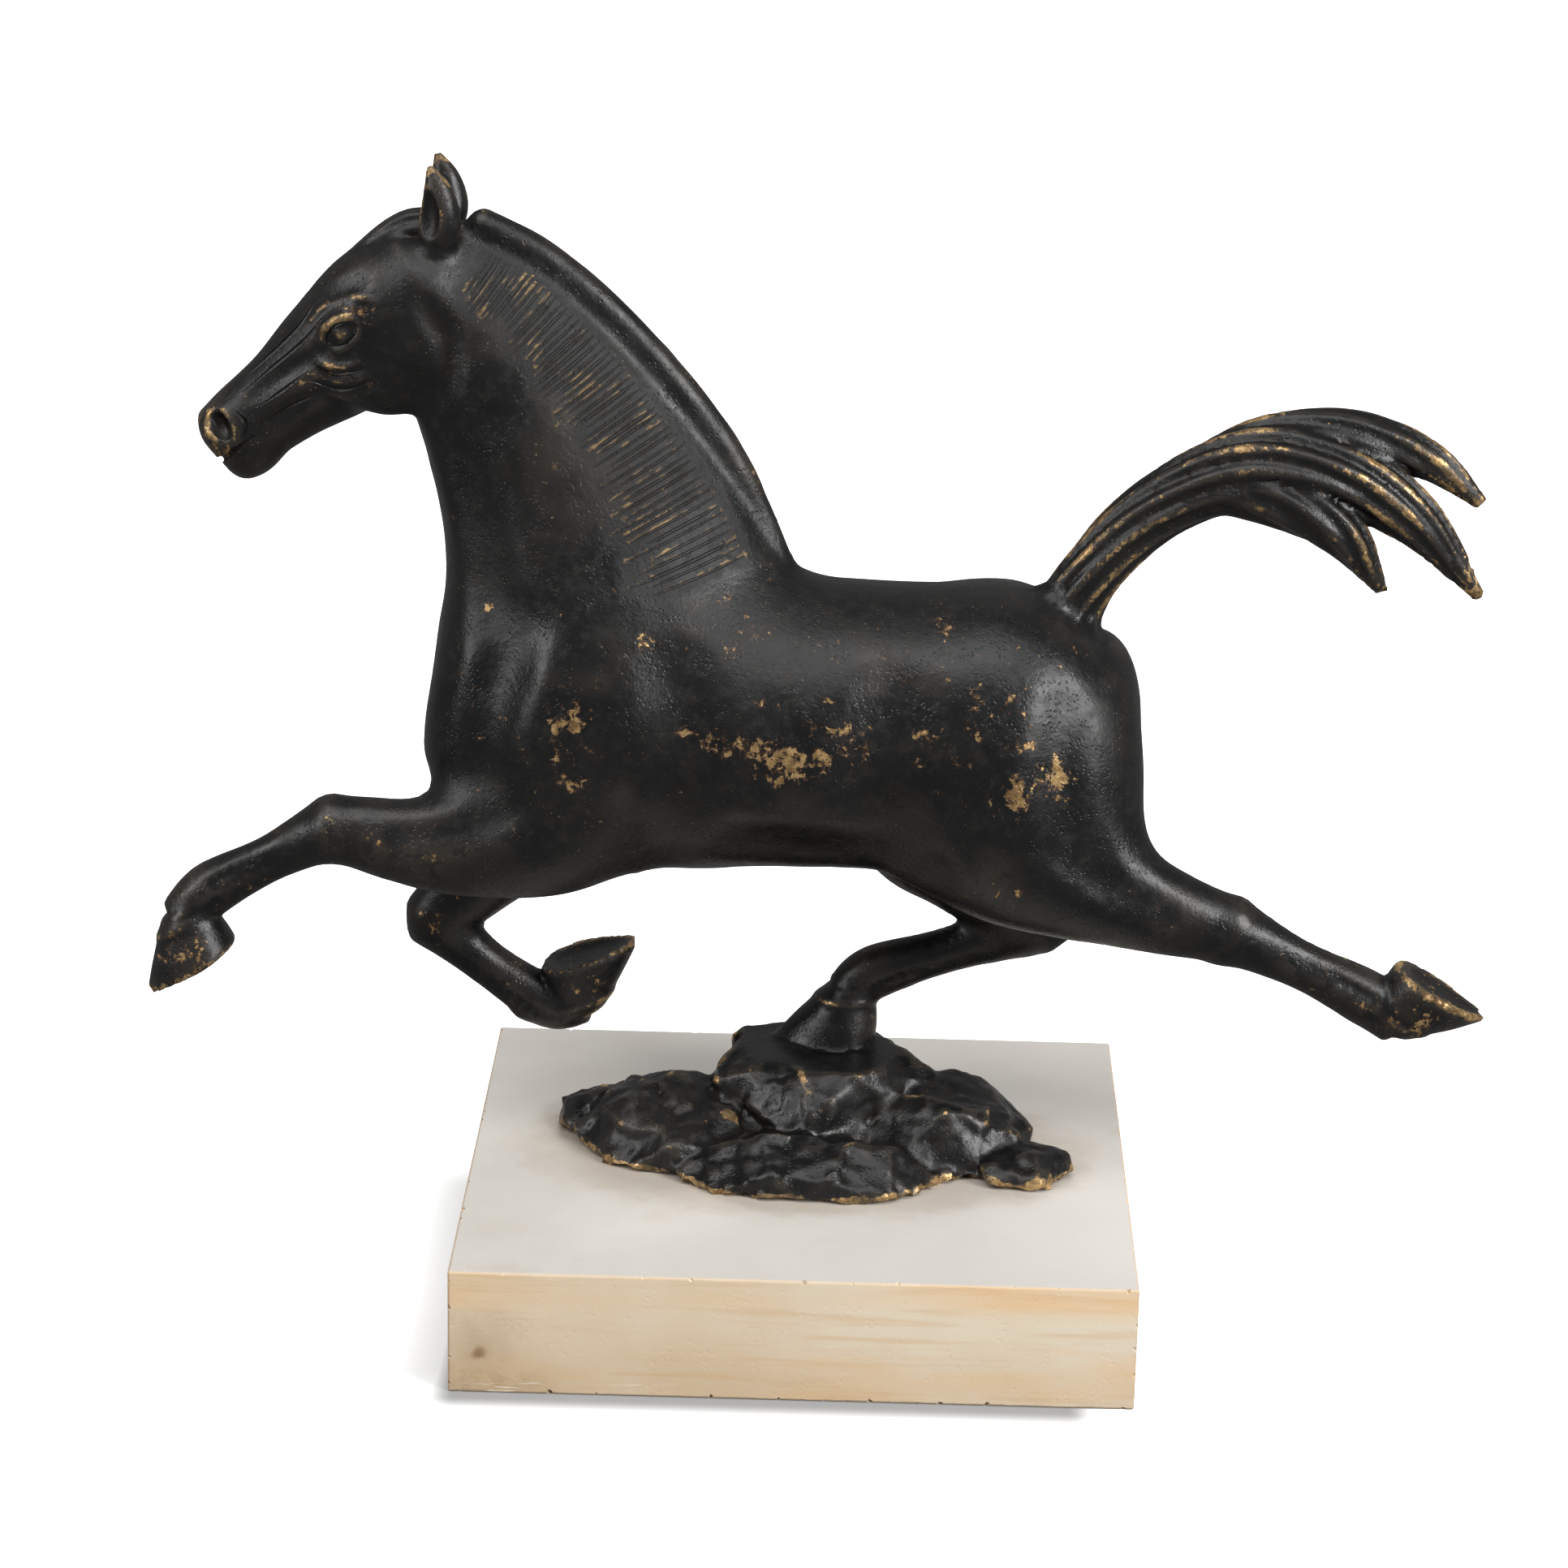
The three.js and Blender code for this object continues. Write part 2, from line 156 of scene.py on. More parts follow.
HOCK = {"behind": 3.4, "radii": [4, 3.2, 3.6]}

# The head's small forms.
CHEEK = {"at": [-74.5, 4.6, 172.5], "radii": [10.5, 6, 10.5], "tilt": 0, "fillet": 2.6}
EYE = {"at": [-82, 8.4, 177.4], "radii": [3, 2.3, 2.2], "tilt": -38, "fillet": 0.5}
BROW = {"at": [-81.4, 7.2, 180.4], "radii": [5.4, 3, 2], "tilt": -38, "fillet": 1.4}
FLARE = {"at": [-102.6, 3.6, 159.6], "radii": [4.6, 3.6, 3.8], "tilt": -38, "fillet": 2}
NOSTRIL = {"at": [-104.2, 6.8, 160], "radii": [3.2, 2.5, 1.8], "tilt": 58, "fillet": 0.9}
CHIN = {"at": [-98.6, 0, 153.4], "radii": [5, 4.2, 3.6], "tilt": -38, "fillet": 2}
EAR = [[-66, 5.4, 192, 3, 2.6], [-65.2, 6.4, 197, 3.7, 2.9], [-65.6, 6.9, 202, 2.7, 2.1],
       [-66.8, 6.9, 206, 0.8, 0.7]]
EAR_HOLLOW = {"at": [-67.9, 9.2, 198.6], "radii": [2.6, 2.3, 4.9], "tilt": -6, "fillet": 0.5}
# The eyelids: first and last angle round the eye, reach along, reach up, and thickness. A fold's size is its
# thickness and its rise.
LIDS = [[4, 172, 3.7, 2.7, 0.95], [196, 344, 3.6, 2.3, 0.75]]
LID_RISE = 0.55
FOLD_SIZE = [0.95, 0.5]
FOLDS = [
    [[-87, 173], [-83.4, 171.4], [-79, 172.6]],
    [[-88.6, 170.4], [-84, 168.8], [-79, 169.6], [-75.8, 171.8]],
    [[-85, 166.4], [-80, 165.8], [-75.6, 167.8]],
    [[-87.4, 179.2], [-84.4, 182.4], [-80, 184], [-76, 183.6]],
]
FORELOCK = [[-64, 0, 194, 3.4, 3.6], [-71, 0, 194.5, 3.4, 3.6], [-78, 0, 190, 2.8, 3],
            [-84, 0, 184, 1.5, 1.7]]
MANE = {"rise": 3.8, "half_width": 3, "from": 0.04, "stations": 7}

# The rock under the planted hoof.
LEDGE = LEGS["off_hind"]["shank"][-1][2] - HOOF["height"]
BOULDERS = [
    {"at": [3, 10, 28], "radii": [25, 21, 20], "turn": 20},
    {"at": [-21, 2, 24], "radii": [22, 18, 12.5], "turn": 75},
    {"at": [25, 2, 24], "radii": [20, 18, 13.5], "turn": 140},
    {"at": [2, -14, 23], "radii": [27, 13, 10], "turn": 200},
    {"at": [-37, 12, 23], "radii": [11, 11, 7.5], "turn": 260},
    {"at": [40, -8, 23], "radii": [12, 10, 6.5], "turn": 320},
]
BOULDER_POINTS = 16
# Fillets between the boulders, round the flat ledge and foot, and where the hoof meets the rock
ROCK = {"between": 1.2, "flats": 0.7, "hoof": 0.8, "rough_within": 20, "chisel_within": 4}
CREASE_FILLET = 0.5

# How the skin is roughened, in layers of lumps or of chisel planes, with their width, seed and height
HAND_MARKS = [[11.0, 3, 0.2], [4.0, 4, 0.07]]
ROCK_LUMPS = [[9.0, 11, 0.7], [1.8, 12, 0.12]]
ROCK_PLANES = [[8.0, 13, 0.9], [3.4, 14, 0.2]]


# Distance forms, from which the wax model of the casting is built up

def unit(vectors):
    return vectors / (np.linalg.norm(vectors, axis=-1, keepdims=True) + 1e-12)


def smooth_line(points, count):
    """A smooth line through the points, as count places along it."""
    points = np.asarray(points, float)
    padded = np.vstack([2 * points[0] - points[1], points, 2 * points[-1] - points[-2]])
    share = np.linspace(0, len(points) - 1, count)
    i = np.minimum(share.astype(int), len(points) - 2)
    t = (share - i)[:, None]
    before, start, end, after = padded[i], padded[i + 1], padded[i + 2], padded[i + 3]
    lean_in, lean_out = (end - before) / 2, (after - start) / 2
    cubic = 2 * start - 2 * end + lean_in + lean_out
    square = -3 * start + 3 * end - 2 * lean_in - lean_out
    return ((cubic * t + square) * t + lean_in) * t + start


def lattice_noise(points, grain, seed):
    """Smooth noise from -1 to 1, with lumps about as wide as grain."""
    size = 24
    lattice = np.random.default_rng(seed).uniform(-1, 1, (size, size, size))
    place = points / grain
    cell = np.floor(place).astype(int)
    t = place - cell
    t = t * t * (3 - 2 * t)
    total = np.zeros(len(points))
    for corner in np.ndindex(2, 2, 2):
        weight = np.prod(np.where(corner, t, 1 - t), axis=1)
        i, j, k = ((cell + corner) % size).T
        total += weight * lattice[i, j, k]
    return total


def chisel_planes(points, pitch, seed):
    """Flat planes at random slants, each as wide as pitch and melted a little into the next one."""
    size, sharpness = 16, 14
    shaky = np.random.default_rng(seed)
    middle = shaky.uniform(0.1, 0.9, (size, size, size, 3))
    slant = shaky.normal(0, 1, (size, size, size, 3))
    place = points / pitch
    cell = np.floor(place).astype(int)
    total, weights = np.zeros(len(points)), np.full(len(points), 1e-9)
    for corner in itertools.product((-1, 0, 1), repeat=3):
        i, j, k = ((cell + corner) % size).T
        offset = place - cell - corner - middle[i, j, k]
        weight = np.exp(-sharpness * (offset ** 2).sum(1))
        total += weight * (offset * slant[i, j, k]).sum(1)
        weights += weight
    return total / weights


def layered(form, points, layers):
    """Layers of noise added up, in millimetres."""
    return sum(form(points, width, seed) * height for width, seed, height in layers)


def blend(a, b, fillet):
    """Two forms joined, with a fillet where they meet."""
    gap = np.clip(fillet - np.abs(a - b), 0, None)
    return np.minimum(a, b) - gap * gap / (4 * fillet)


def egg_depth(along, deep, wide, sizes):
    """Signed distance to an ellipsoid-like section, near its surface."""
    scaled = [along / sizes[0], deep / sizes[1], wide / sizes[2]]
    reach = np.sqrt(sum(s * s for s in scaled)) + 1e-9
    slope = np.sqrt(sum((s / size) ** 2 for s, size in zip(scaled, sizes))) + 1e-9
    return reach * (reach - 1) / slope


class Limb:
    """A limb through its stations, with rounded ends."""

    def __init__(self, stations, side=1, ends=(2, 2), egg=0.0, strands=0, twist=0.0, count=48):
        stations = np.array(stations, float)
        stations[:, 1] *= side
        self.line = smooth_line(stations[:, :3], count)
        self.size = smooth_line(stations[:, 3:], count)
        self.along = unit(np.gradient(self.line, axis=0))
        self.wide = unit(ACROSS - self.along * self.along[:, 1:2])
        self.deep = np.cross(self.along, self.wide)
        self.ends, self.egg, self.strands, self.twist = ends, egg, strands, twist
        girth = self.size.max() + max(ends)
        self.low, self.high = self.line.min(0) - girth, self.line.max(0) + girth

    def at(self, values, place):
        """Values at a place along the line, counted in steps."""
        i = np.minimum(place.astype(int), len(self.line) - 2)
        t = (place - i)[:, None]
        return values[i] * (1 - t) + values[i + 1] * t

    def nearest(self, points):
        """The place along the line where each point lies square to it."""
        last = len(self.line) - 1
        square = (self.line ** 2).sum(1) - 2 * points @ self.line.T
        place = square.argmin(1).astype(float)
        step, bend = np.gradient(self.line, axis=0), np.gradient(self.along, axis=0)
        for _ in range(2):
            offset = points - self.at(self.line, place)
            along = self.at(self.along, place)
            ahead = (offset * along).sum(1)
            pace = (self.at(step, place) * along).sum(1)
            rate = np.maximum(pace - (offset * self.at(bend, place)).sum(1), 0.3 * pace)
            place = np.clip(place + np.clip(ahead / rate, -1, 1), 0, last)
        return place

    def depth(self, points):
        place = self.nearest(points)
        offset = points - self.at(self.line, place)
        axes_here = (self.at(axis, place) for axis in (self.along, self.deep, self.wide))
        along, deep, wide = ((offset * axis).sum(1) for axis in axes_here)
        share = place / (len(self.line) - 1)
        along = np.where((share > 0) & (share < 1), 0, along)
        depth, width = self.at(self.size, place).T
        width = width * (1 - self.egg * np.clip(deep / depth, -1, 1))
        if self.strands:
            angle = np.arctan2(wide / width, deep / depth) + self.twist * share
            swell = 1 - STRAND_DEPTH * (0.5 + 0.5 * np.cos(self.strands * angle)) ** STRAND_SHARPNESS
            depth, width = depth * swell, width * swell
        past_end = np.where(along < 0, self.ends[0], self.ends[1])
        return egg_depth(along, deep, wide, [past_end, depth, width])


class Lump:
    """An ellipsoid turned by its tilt in the side view."""

    def __init__(self, form, side=1):
        tilt = math.radians(form.get("tilt", 0))
        cos, sin = math.cos(tilt), math.sin(tilt)
        self.at = np.array(form["at"], float) * [1, side, 1]
        self.radii = np.array(form["radii"], float)
        self.turn = np.array([[cos, 0, -sin], [0, 1, 0], [sin, 0, cos]])
        self.low, self.high = self.at - self.radii.max(), self.at + self.radii.max()

    def depth(self, points):
        along, wide, up = ((points - self.at) @ self.turn.T).T
        return egg_depth(along, up, wide, [self.radii[0], self.radii[2], self.radii[1]])


class Hoof:
    """A hoof that spreads from the coronet to a flat sole."""

    def __init__(self, leg):
        x, y, z = leg["shank"][-1][:3]
        self.top = np.array([x, y * leg["side"], z], float)
        self.toe = unit(np.array([leg["toe"][0], 0, leg["toe"][1]], float))
        self.down = unit(np.array([leg["sole"][0], 0, leg["sole"][1]], float))
        self.dish = 0 if leg["sole"] == [0, -1] else HOOF["dish"]
        self.low, self.high = self.top - 20, self.top + 20

    def depth(self, points):
        offset = points - self.top
        down = offset @ self.down
        share = np.clip(down / HOOF["height"], -0.3, 1)
        swell = HOOF["swell"] * np.sin(math.pi * np.clip(share, 0, 1))
        band = HOOF["band"] * np.exp(-((share - HOOF["band_at"]) / HOOF["band_width"]) ** 2)
        bulge = 1 + swell + band
        deep = offset @ self.toe - share * HOOF["forward"]
        sizes = [crown + (sole - crown) * share for crown, sole in zip(HOOF["coronet"], HOOF["sole"])]
        depth, width = sizes[0] * bulge, sizes[1] * bulge
        width = width * (1 - HOOF["egg"] * np.clip(share, 0, 1) * np.clip(deep / depth, -1, 1))
        wall = egg_depth(0 * deep, deep, offset[:, 1], [1.0, depth, width])
        inner = np.clip(1 - HOOF["dish_spread"] * ((deep / depth) ** 2 + (offset[:, 1] / width) ** 2), 0, 1)
        sole = down - HOOF["height"] + self.dish * inner * (2 - inner)
        ends = np.maximum(sole, -HOOF["above"] * HOOF["height"] - down)
        return -blend(-wall, -ends, HOOF["edge"])


class Crease:
    """A soft furrow pressed into the surface along a line, fading out towards both ends."""

    def __init__(self, line, normal, radius, depth):
        press = depth * np.sin(math.pi * np.linspace(0.04, 0.96, len(line)))
        self.line = line + normal * (radius - press)[:, None]
        self.radius = radius
        self.low, self.high = self.line.min(0) - radius, self.line.max(0) + radius

    def depth(self, points):
        square = ((points[:, None, :] - self.line[None]) ** 2).sum(2)
        return np.sqrt(square.min(1)) - self.radius


class Boulder:
    """A faceted boulder: the hull of points spread evenly over an ellipsoid."""

    def __init__(self, form):
        golden = math.pi * (3 - math.sqrt(5))
        mesh = bmesh.new()
        for i in range(BOULDER_POINTS):
            height = 1 - 2 * (i + 0.5) / BOULDER_POINTS
            ring = math.sqrt(1 - height * height)
            angle = golden * i + math.radians(form["turn"])
            spot = np.array([ring * math.cos(angle), ring * math.sin(angle), height]) * form["radii"]
            mesh.verts.new(spot + form["at"])
        bmesh.ops.convex_hull(mesh, input=mesh.verts)
        bmesh.ops.recalc_face_normals(mesh, faces=mesh.faces)
        self.normals = np.array([face.normal[:] for face in mesh.faces])
        spots = np.array([face.calc_center_median()[:] for face in mesh.faces])
        self.reach = (self.normals * spots).sum(1)
        mesh.free()
        at, radii = np.array(form["at"], float), np.array(form["radii"], float)
        self.low, self.high = at - radii, at + radii

    def depth(self, points):
        return (points @ self.normals.T - self.reach).max(1)


def near(form, points, reach=12.0):
    """A form's depth at the points close to it, and far away elsewhere."""
    out = np.full(len(points), FAR)
    close = ((points > form.low - reach) & (points < form.high + reach)).all(1)
    if close.any():
        out[close] = form.depth(points[close])
    return out


class Wax:
    """The whole model: forms joined with fillets, creases and hollows taken out, and the rock added."""

    def __init__(self):
        self.forms, self.creases, self.hollows = [], [], []
        self.boulders = [Boulder(form) for form in BOULDERS]

    def add(self, form, fillet):
        self.forms.append((form, fillet))

    def add_pair(self, form):
        for side in (NEAR_SIDE, OFF_SIDE):
            self.add(Lump(form, side), form["fillet"])

    def rock_depth(self, points):
        depth = np.full(len(points), FAR)
        for boulder in self.boulders:
            depth = blend(depth, near(boulder, points), ROCK["between"])
        close = depth < ROCK["rough_within"]
        rough = layered(lattice_noise, points[close], ROCK_LUMPS)
        skin = np.abs(depth[close]) < ROCK["chisel_within"]
        rough[skin] += layered(chisel_planes, points[close][skin], ROCK_PLANES)
        ledge = np.maximum(points[close, 2] - LEDGE, PLINTH_TOP - points[close, 2])
        depth[close] = -blend(-(depth[close] + rough), -ledge, ROCK["flats"])
        return depth

    def depth(self, points):
        depth = np.full(len(points), FAR)
        for form, fillet in self.forms:
            depth = blend(depth, near(form, points), fillet)
        for crease in self.creases:
            depth = -blend(-depth, near(crease, points, 6), crease.radius * CREASE_FILLET)
        for hollow, fillet in self.hollows:
            depth = -blend(-depth, near(hollow, points, 6), fillet)
        return blend(depth, self.rock_depth(points), ROCK["hoof"])

    def slope(self, points, step=0.06):
        """The depth and its outward slope, from four places around each point."""
        corners = np.array([[1, -1, -1], [-1, -1, 1], [-1, 1, -1], [1, 1, 1]], float)
        around = [self.depth(points + corner * step) for corner in corners]
        slope = sum(corner[None] * value[:, None] for corner, value in zip(corners, around)) / (4 * step)
        return sum(around) / 4, slope

    def settle(self, points, rounds=2):
        """The points moved onto the surface."""
        for _ in range(rounds):
            depth, slope = self.slope(points)
            square = np.maximum((slope ** 2).sum(1), 0.2)
            move = np.clip(depth / square, -1.5, 1.5)
            points = points - slope * move[:, None]
        return points

    def skin(self, points, rounds=4):
        """The points moved onto the skin with the unevenness that hands leave, and its outward slope."""
        points = self.settle(points, rounds)
        normal = unit(self.slope(points)[1])
        uneven = np.where(points[:, 2] < LEDGE + 1, 0, layered(lattice_noise, points, HAND_MARKS))
        return points + normal * uneven[:, None], normal


# How far from the middle a place starts that is moved in onto the outer or the inner face of a leg
OUTSIDE, BETWEEN_LEGS = 45.0, -6.0


def on_flank(wax, spots, side, start=OUTSIDE):
    """Places on one side of the horse, under spots of x and z in the side view, and the slopes there."""
    spots = np.asarray(spots, float)
    points = np.column_stack([spots[:, 0], np.full(len(spots), side * start), spots[:, 1]])
    rounds, pace = 42, 0.8
    for _ in range(rounds):
        points[:, 1] -= side * np.clip(wax.depth(points), -1, 3) * pace
    return points, unit(wax.slope(points)[1])


def lines_on_flank(wax, lines, side, start=OUTSIDE, count=24):
    """Smooth lines of the side view laid on one side of the horse, each as its places and slopes."""
    spots = np.concatenate([smooth_line(np.array(line, float), count) for line in lines])
    points, slopes = on_flank(wax, spots, side, start)
    return list(zip(np.split(points, len(lines)), np.split(slopes, len(lines))))


def raise_folds(wax, folds, side):
    """Folds of skin that thin out at the ends, each with a line in the side view, a thickness and a rise."""
    count = 14
    taper = np.sin(math.pi * np.linspace(0.1, 0.9, count))[:, None] ** 0.7
    laid = lines_on_flank(wax, [line for line, _, _ in folds], side, count=count)
    for (points, slope), (_, radius, rise) in zip(laid, folds):
        line = points + slope * (rise - radius) * taper
        thick = radius * taper
        wax.add(Limb(np.hstack([line, thick, thick]), ends=(0.6, 0.6), count=28), fillet=0.4)


def lid_line(first, last, reach, rise):
    """An arc round the eye in the side view, from one angle to another."""
    tilt = math.radians(EYE["tilt"])
    angle = np.radians(np.linspace(first, last, 9))[:, None]
    along, over = np.array([math.cos(tilt), -math.sin(tilt)]), np.array([math.sin(tilt), math.cos(tilt)])
    return np.array(EYE["at"])[[0, 2]] + along * reach * np.cos(angle) + over * rise * np.sin(angle)


def wax_model():
    """The horse and its rock as one wax model."""
    wax = Wax()
    wax.add(Limb(TORSO, ends=(9, 10)), fillet=1)
    for muscle in MUSCLES:
        wax.add_pair(muscle)
    wax.add(Limb(NECK, ends=(8, 6), egg=NECK_EGG), fillet=9)
    for leg in LEGS.values():
        wax.add(Limb(leg["upper"], leg["side"], ends=(8, 3.5)), fillet=6)
        wax.add(Limb(leg["shank"], leg["side"], ends=(3.8, 1.5)), fillet=2.4)
        wax.add(knob(leg, leg["shank"][-2], ERGOT), fillet=2)
        wax.add(Hoof(leg), fillet=1)
    for name in ("near_hind", "off_hind"):
        wax.add(knob(LEGS[name], LEGS[name]["shank"][0], HOCK), fillet=3)
    wax.add(Limb(HEAD, ends=(5, 3), egg=HEAD_EGG), fillet=6)
    for form in (CHEEK, BROW, FLARE, EYE):
        wax.add_pair(form)
    wax.add(Lump(CHIN), CHIN["fillet"])
    folds = [(lid_line(*arc), radius, LID_RISE * radius) for *arc, radius in LIDS]
    folds += [(line, *FOLD_SIZE) for line in FOLDS]
    for side in (NEAR_SIDE, OFF_SIDE):
        raise_folds(wax, folds, side)
    wax.add(mane_ridge(), fillet=1.6)
    for side in (NEAR_SIDE, OFF_SIDE):
        wax.add(Limb(EAR, side, ends=(1, 0.6)), fillet=1.6)
    wax.add(Limb(FORELOCK, ends=(2, 1), strands=6), fillet=1)
    for name, stations in TAIL.items():
        lock = Limb(stations, ends=(4, 1.2), strands=LOCK_STRANDS[name], twist=STRAND_TWIST)
        wax.add(lock, TAIL_FILLETS[name])
    for side in (NEAR_SIDE, OFF_SIDE):
        wax.hollows += [(Lump(form, side), form["fillet"]) for form in (NOSTRIL, EAR_HOLLOW)]
    return wax


def knob(leg, station, form):
    """A small knob behind a joint, such as the tuft of the fetlock or the point of the hock."""
    x, y, z = station[:3]
    toe_x, toe_z = leg["toe"]
    at = [x - toe_x * form["behind"], y, z - toe_z * form["behind"]]
    return Lump({"at": at, "radii": form["radii"]}, leg["side"])


def neck_places(shares, deep, side):
    """Places on the neck, by share from withers to poll. deep is -1 at the crest and 1 at the throat."""
    neck = Limb(NECK)
    place = np.clip(shares, 0, 1) * (len(neck.line) - 1)
    along = neck.at(neck.along, place)
    inward = np.cross(along, ACROSS)
    depth, width = neck.at(neck.size, place).T
    out = width * (1 - NECK_EGG * deep) * np.sqrt(1 - deep * deep)
    return neck.at(neck.line, place) + inward * (depth * deep)[:, None] + ACROSS * (side * out)[:, None]


def mane_ridge():
    """The hogged mane, a low ridge that rises out of the withers and runs up to the poll."""
    count = MANE["stations"]
    shares = MANE["from"] + (1 - MANE["from"]) * np.arange(count) / (count - 1)
    crest = neck_places(shares, np.full(count, -1.0), 1)
    full = np.minimum(1, (np.arange(count) + 1) / 3)
    stations = [[x, 0, z, MANE["rise"] * f, MANE["half_width"] * f] for (x, _, z), f in zip(crest, full)]
    return Limb(stations, ends=(5, 3))


# Furrows between the muscles, as lines in the side view, with the tool's radius and how deep it presses
FURROWS = [
    {"line": [[-23, 121], [-20, 109], [-22, 96], [-29, 85]], "radius": 9, "depth": 1.3},
    {"line": [[15, 118], [12, 107], [14, 96], [20, 86]], "radius": 9, "depth": 1.3},
    {"line": [[-65.5, 166], [-59, 149.5], [-54.5, 130], [-53, 120]], "radius": 8, "depth": 1.1},
    {"line": [[-49, 128], [-54, 118], [-56, 108], [-54, 97]], "radius": 7, "depth": 0.9},
    {"line": [[45, 116], [44, 106], [46, 95], [52, 86]], "radius": 7, "depth": 0.9},
    {"line": [[-98, 165], [-93, 169], [-88, 172.6], [-84, 175]], "radius": 2.2, "depth": 0.6},
    {"line": [[-98, 158], [-92, 162.6], [-86, 167.4]], "radius": 2.6, "depth": 0.6},
    {"line": [[-67.5, 183], [-63.8, 177], [-63.8, 169.5], [-68, 163]], "radius": 3, "depth": 1.2},
    {"line": [[-88.5, 183], [-84, 184.4], [-79, 186.6]], "radius": 2.5, "depth": 0.5},
    {"line": [[-50, 96], [-60, 91.4], [-72, 89.6]], "radius": 4, "depth": 0.6},
    {"line": [[42, 92], [52, 85.4], [64, 79]], "radius": 4, "depth": 0.6},
    {"line": [[-12, 90], [4, 88], [20, 87]], "radius": 8, "depth": 0.7},
]
TENDON = {"from": 0.22, "to": 0.8, "behind": 0.32, "radius": 1.5, "depth": 0.55}


def tendon_line(leg):
    """The groove in front of a shank's tendon, as spots in the side view."""
    count = 60
    shank = smooth_line(np.array(leg["shank"], float), count)
    first, last = (int(TENDON[end] * (count - 1)) for end in ("from", "to"))
    toe = np.array(leg["toe"], float)
    run = unit(np.gradient(shank[:, [0, 2]], axis=0))
    behind = -unit(toe - run * (run @ toe)[:, None])
    return (shank[:, [0, 2]] + behind * shank[:, 3:4] * TENDON["behind"])[first:last:3]


def press_furrows(wax):
    creases = []
    for side in (NEAR_SIDE, OFF_SIDE):
        laid = lines_on_flank(wax, [furrow["line"] for furrow in FURROWS], side)
        for (points, slope), furrow in zip(laid, FURROWS):
            creases.append(Crease(points, slope, furrow["radius"], furrow["depth"]))
        tendons = [tendon_line(leg) for leg in LEGS.values() if leg["side"] == side]
        for face, start in ((side, OUTSIDE), (-side, BETWEEN_LEGS)):
            for points, slope in lines_on_flank(wax, tendons, face, start, count=12):
                creases.append(Crease(points, slope, TENDON["radius"], TENDON["depth"]))
    wax.creases = creases


# The skin over the wax model

GRID_STEP = 1.5
GRID_MARGIN = 3


def in_batches(work, points, size=60000):
    return np.concatenate([work(points[i:i + size]) for i in range(0, len(points), size)])


def depth_grid(wax, low, high, step, coarse=4):
    """Depths on a fine grid, worked out only where a coarse grid says the surface is near."""
    cells = np.ceil((high - low) / (step * coarse)).astype(int)
    corners = np.stack(np.meshgrid(*[np.arange(n + 1) for n in cells], indexing="ij"), -1)
    rough = in_batches(wax.depth, corners.reshape(-1, 3) * step * coarse + low).reshape(cells + 1)
    nearest = np.full(cells, FAR)
    for a, b, c in np.ndindex(2, 2, 2):
        part = rough[a:a + cells[0], b:b + cells[1], c:c + cells[2]]
        nearest = np.minimum(nearest, np.abs(part))
    close = np.argwhere(nearest < 1.3 * step * coarse) * coarse
    fine_index = [np.round(np.arange(n * coarse + 1) / coarse).astype(int) for n in cells]
    values = rough[np.ix_(*fine_index)]
    wanted = np.zeros(values.shape, bool)
    for offset in np.ndindex(coarse + 1, coarse + 1, coarse + 1):
        i, j, k = (close + offset).T
        wanted[i, j, k] = True
    values[wanted] = in_batches(wax.depth, np.argwhere(wanted) * step + low)
    return values


CELL_EDGES = [(axis, corner) for axis in range(3) for corner in np.ndindex(2, 2, 2) if not corner[axis]]


def edge_ends(edge):
    axis, corner = edge
    return corner, tuple(c + (a == axis) for a, c in enumerate(corner))


def sheets_in_cell(pattern):
    """The sheet of skin that each of a cell's edges belongs to, for one pattern of corners inside the wax."""
    inside = lambda corner: pattern >> (corner[0] * 4 + corner[1] * 2 + corner[2]) & 1
    crossed = [k for k, edge in enumerate(CELL_EDGES) if sum(map(inside, edge_ends(edge))) == 1]
    sheet = {k: k for k in crossed}
    for axis, level in np.ndindex(3, 2):
        on_face = [k for k in crossed if all(end[axis] == level for end in edge_ends(CELL_EDGES[k]))]
        for j, k in itertools.combinations(on_face, 2):
            shared = set(edge_ends(CELL_EDGES[j])) & set(edge_ends(CELL_EDGES[k]))
            if len(on_face) == 2 or any(map(inside, shared)):
                old, new = sheet[j], sheet[k]
                sheet = {edge: new if name == old else name for edge, name in sheet.items()}
    names = sorted(set(sheet.values()))
    return [names.index(sheet[k]) if k in sheet else -1 for k in range(12)]


def sheet_points(values, pattern, table, crossed, first, count):
    """The middle of each sheet's crossings in its cell, in steps of the grid."""
    kinds = pattern[tuple(crossed.T)]
    total, hits = np.zeros((count, 3)), np.zeros(count)
    for number, (axis, corner) in enumerate(CELL_EDGES):
        sheet = table[kinds, number]
        spots = crossed[sheet >= 0]
        start, end = spots + corner, spots + edge_ends((axis, corner))[1]
        a, b = values[tuple(start.T)], values[tuple(end.T)]
        point = first[tuple(spots.T)] + sheet[sheet >= 0]
        np.add.at(total, point, start + np.eye(3)[axis] * (a / (a - b))[:, None])
        np.add.at(hits, point, 1)
    return total / hits[:, None]


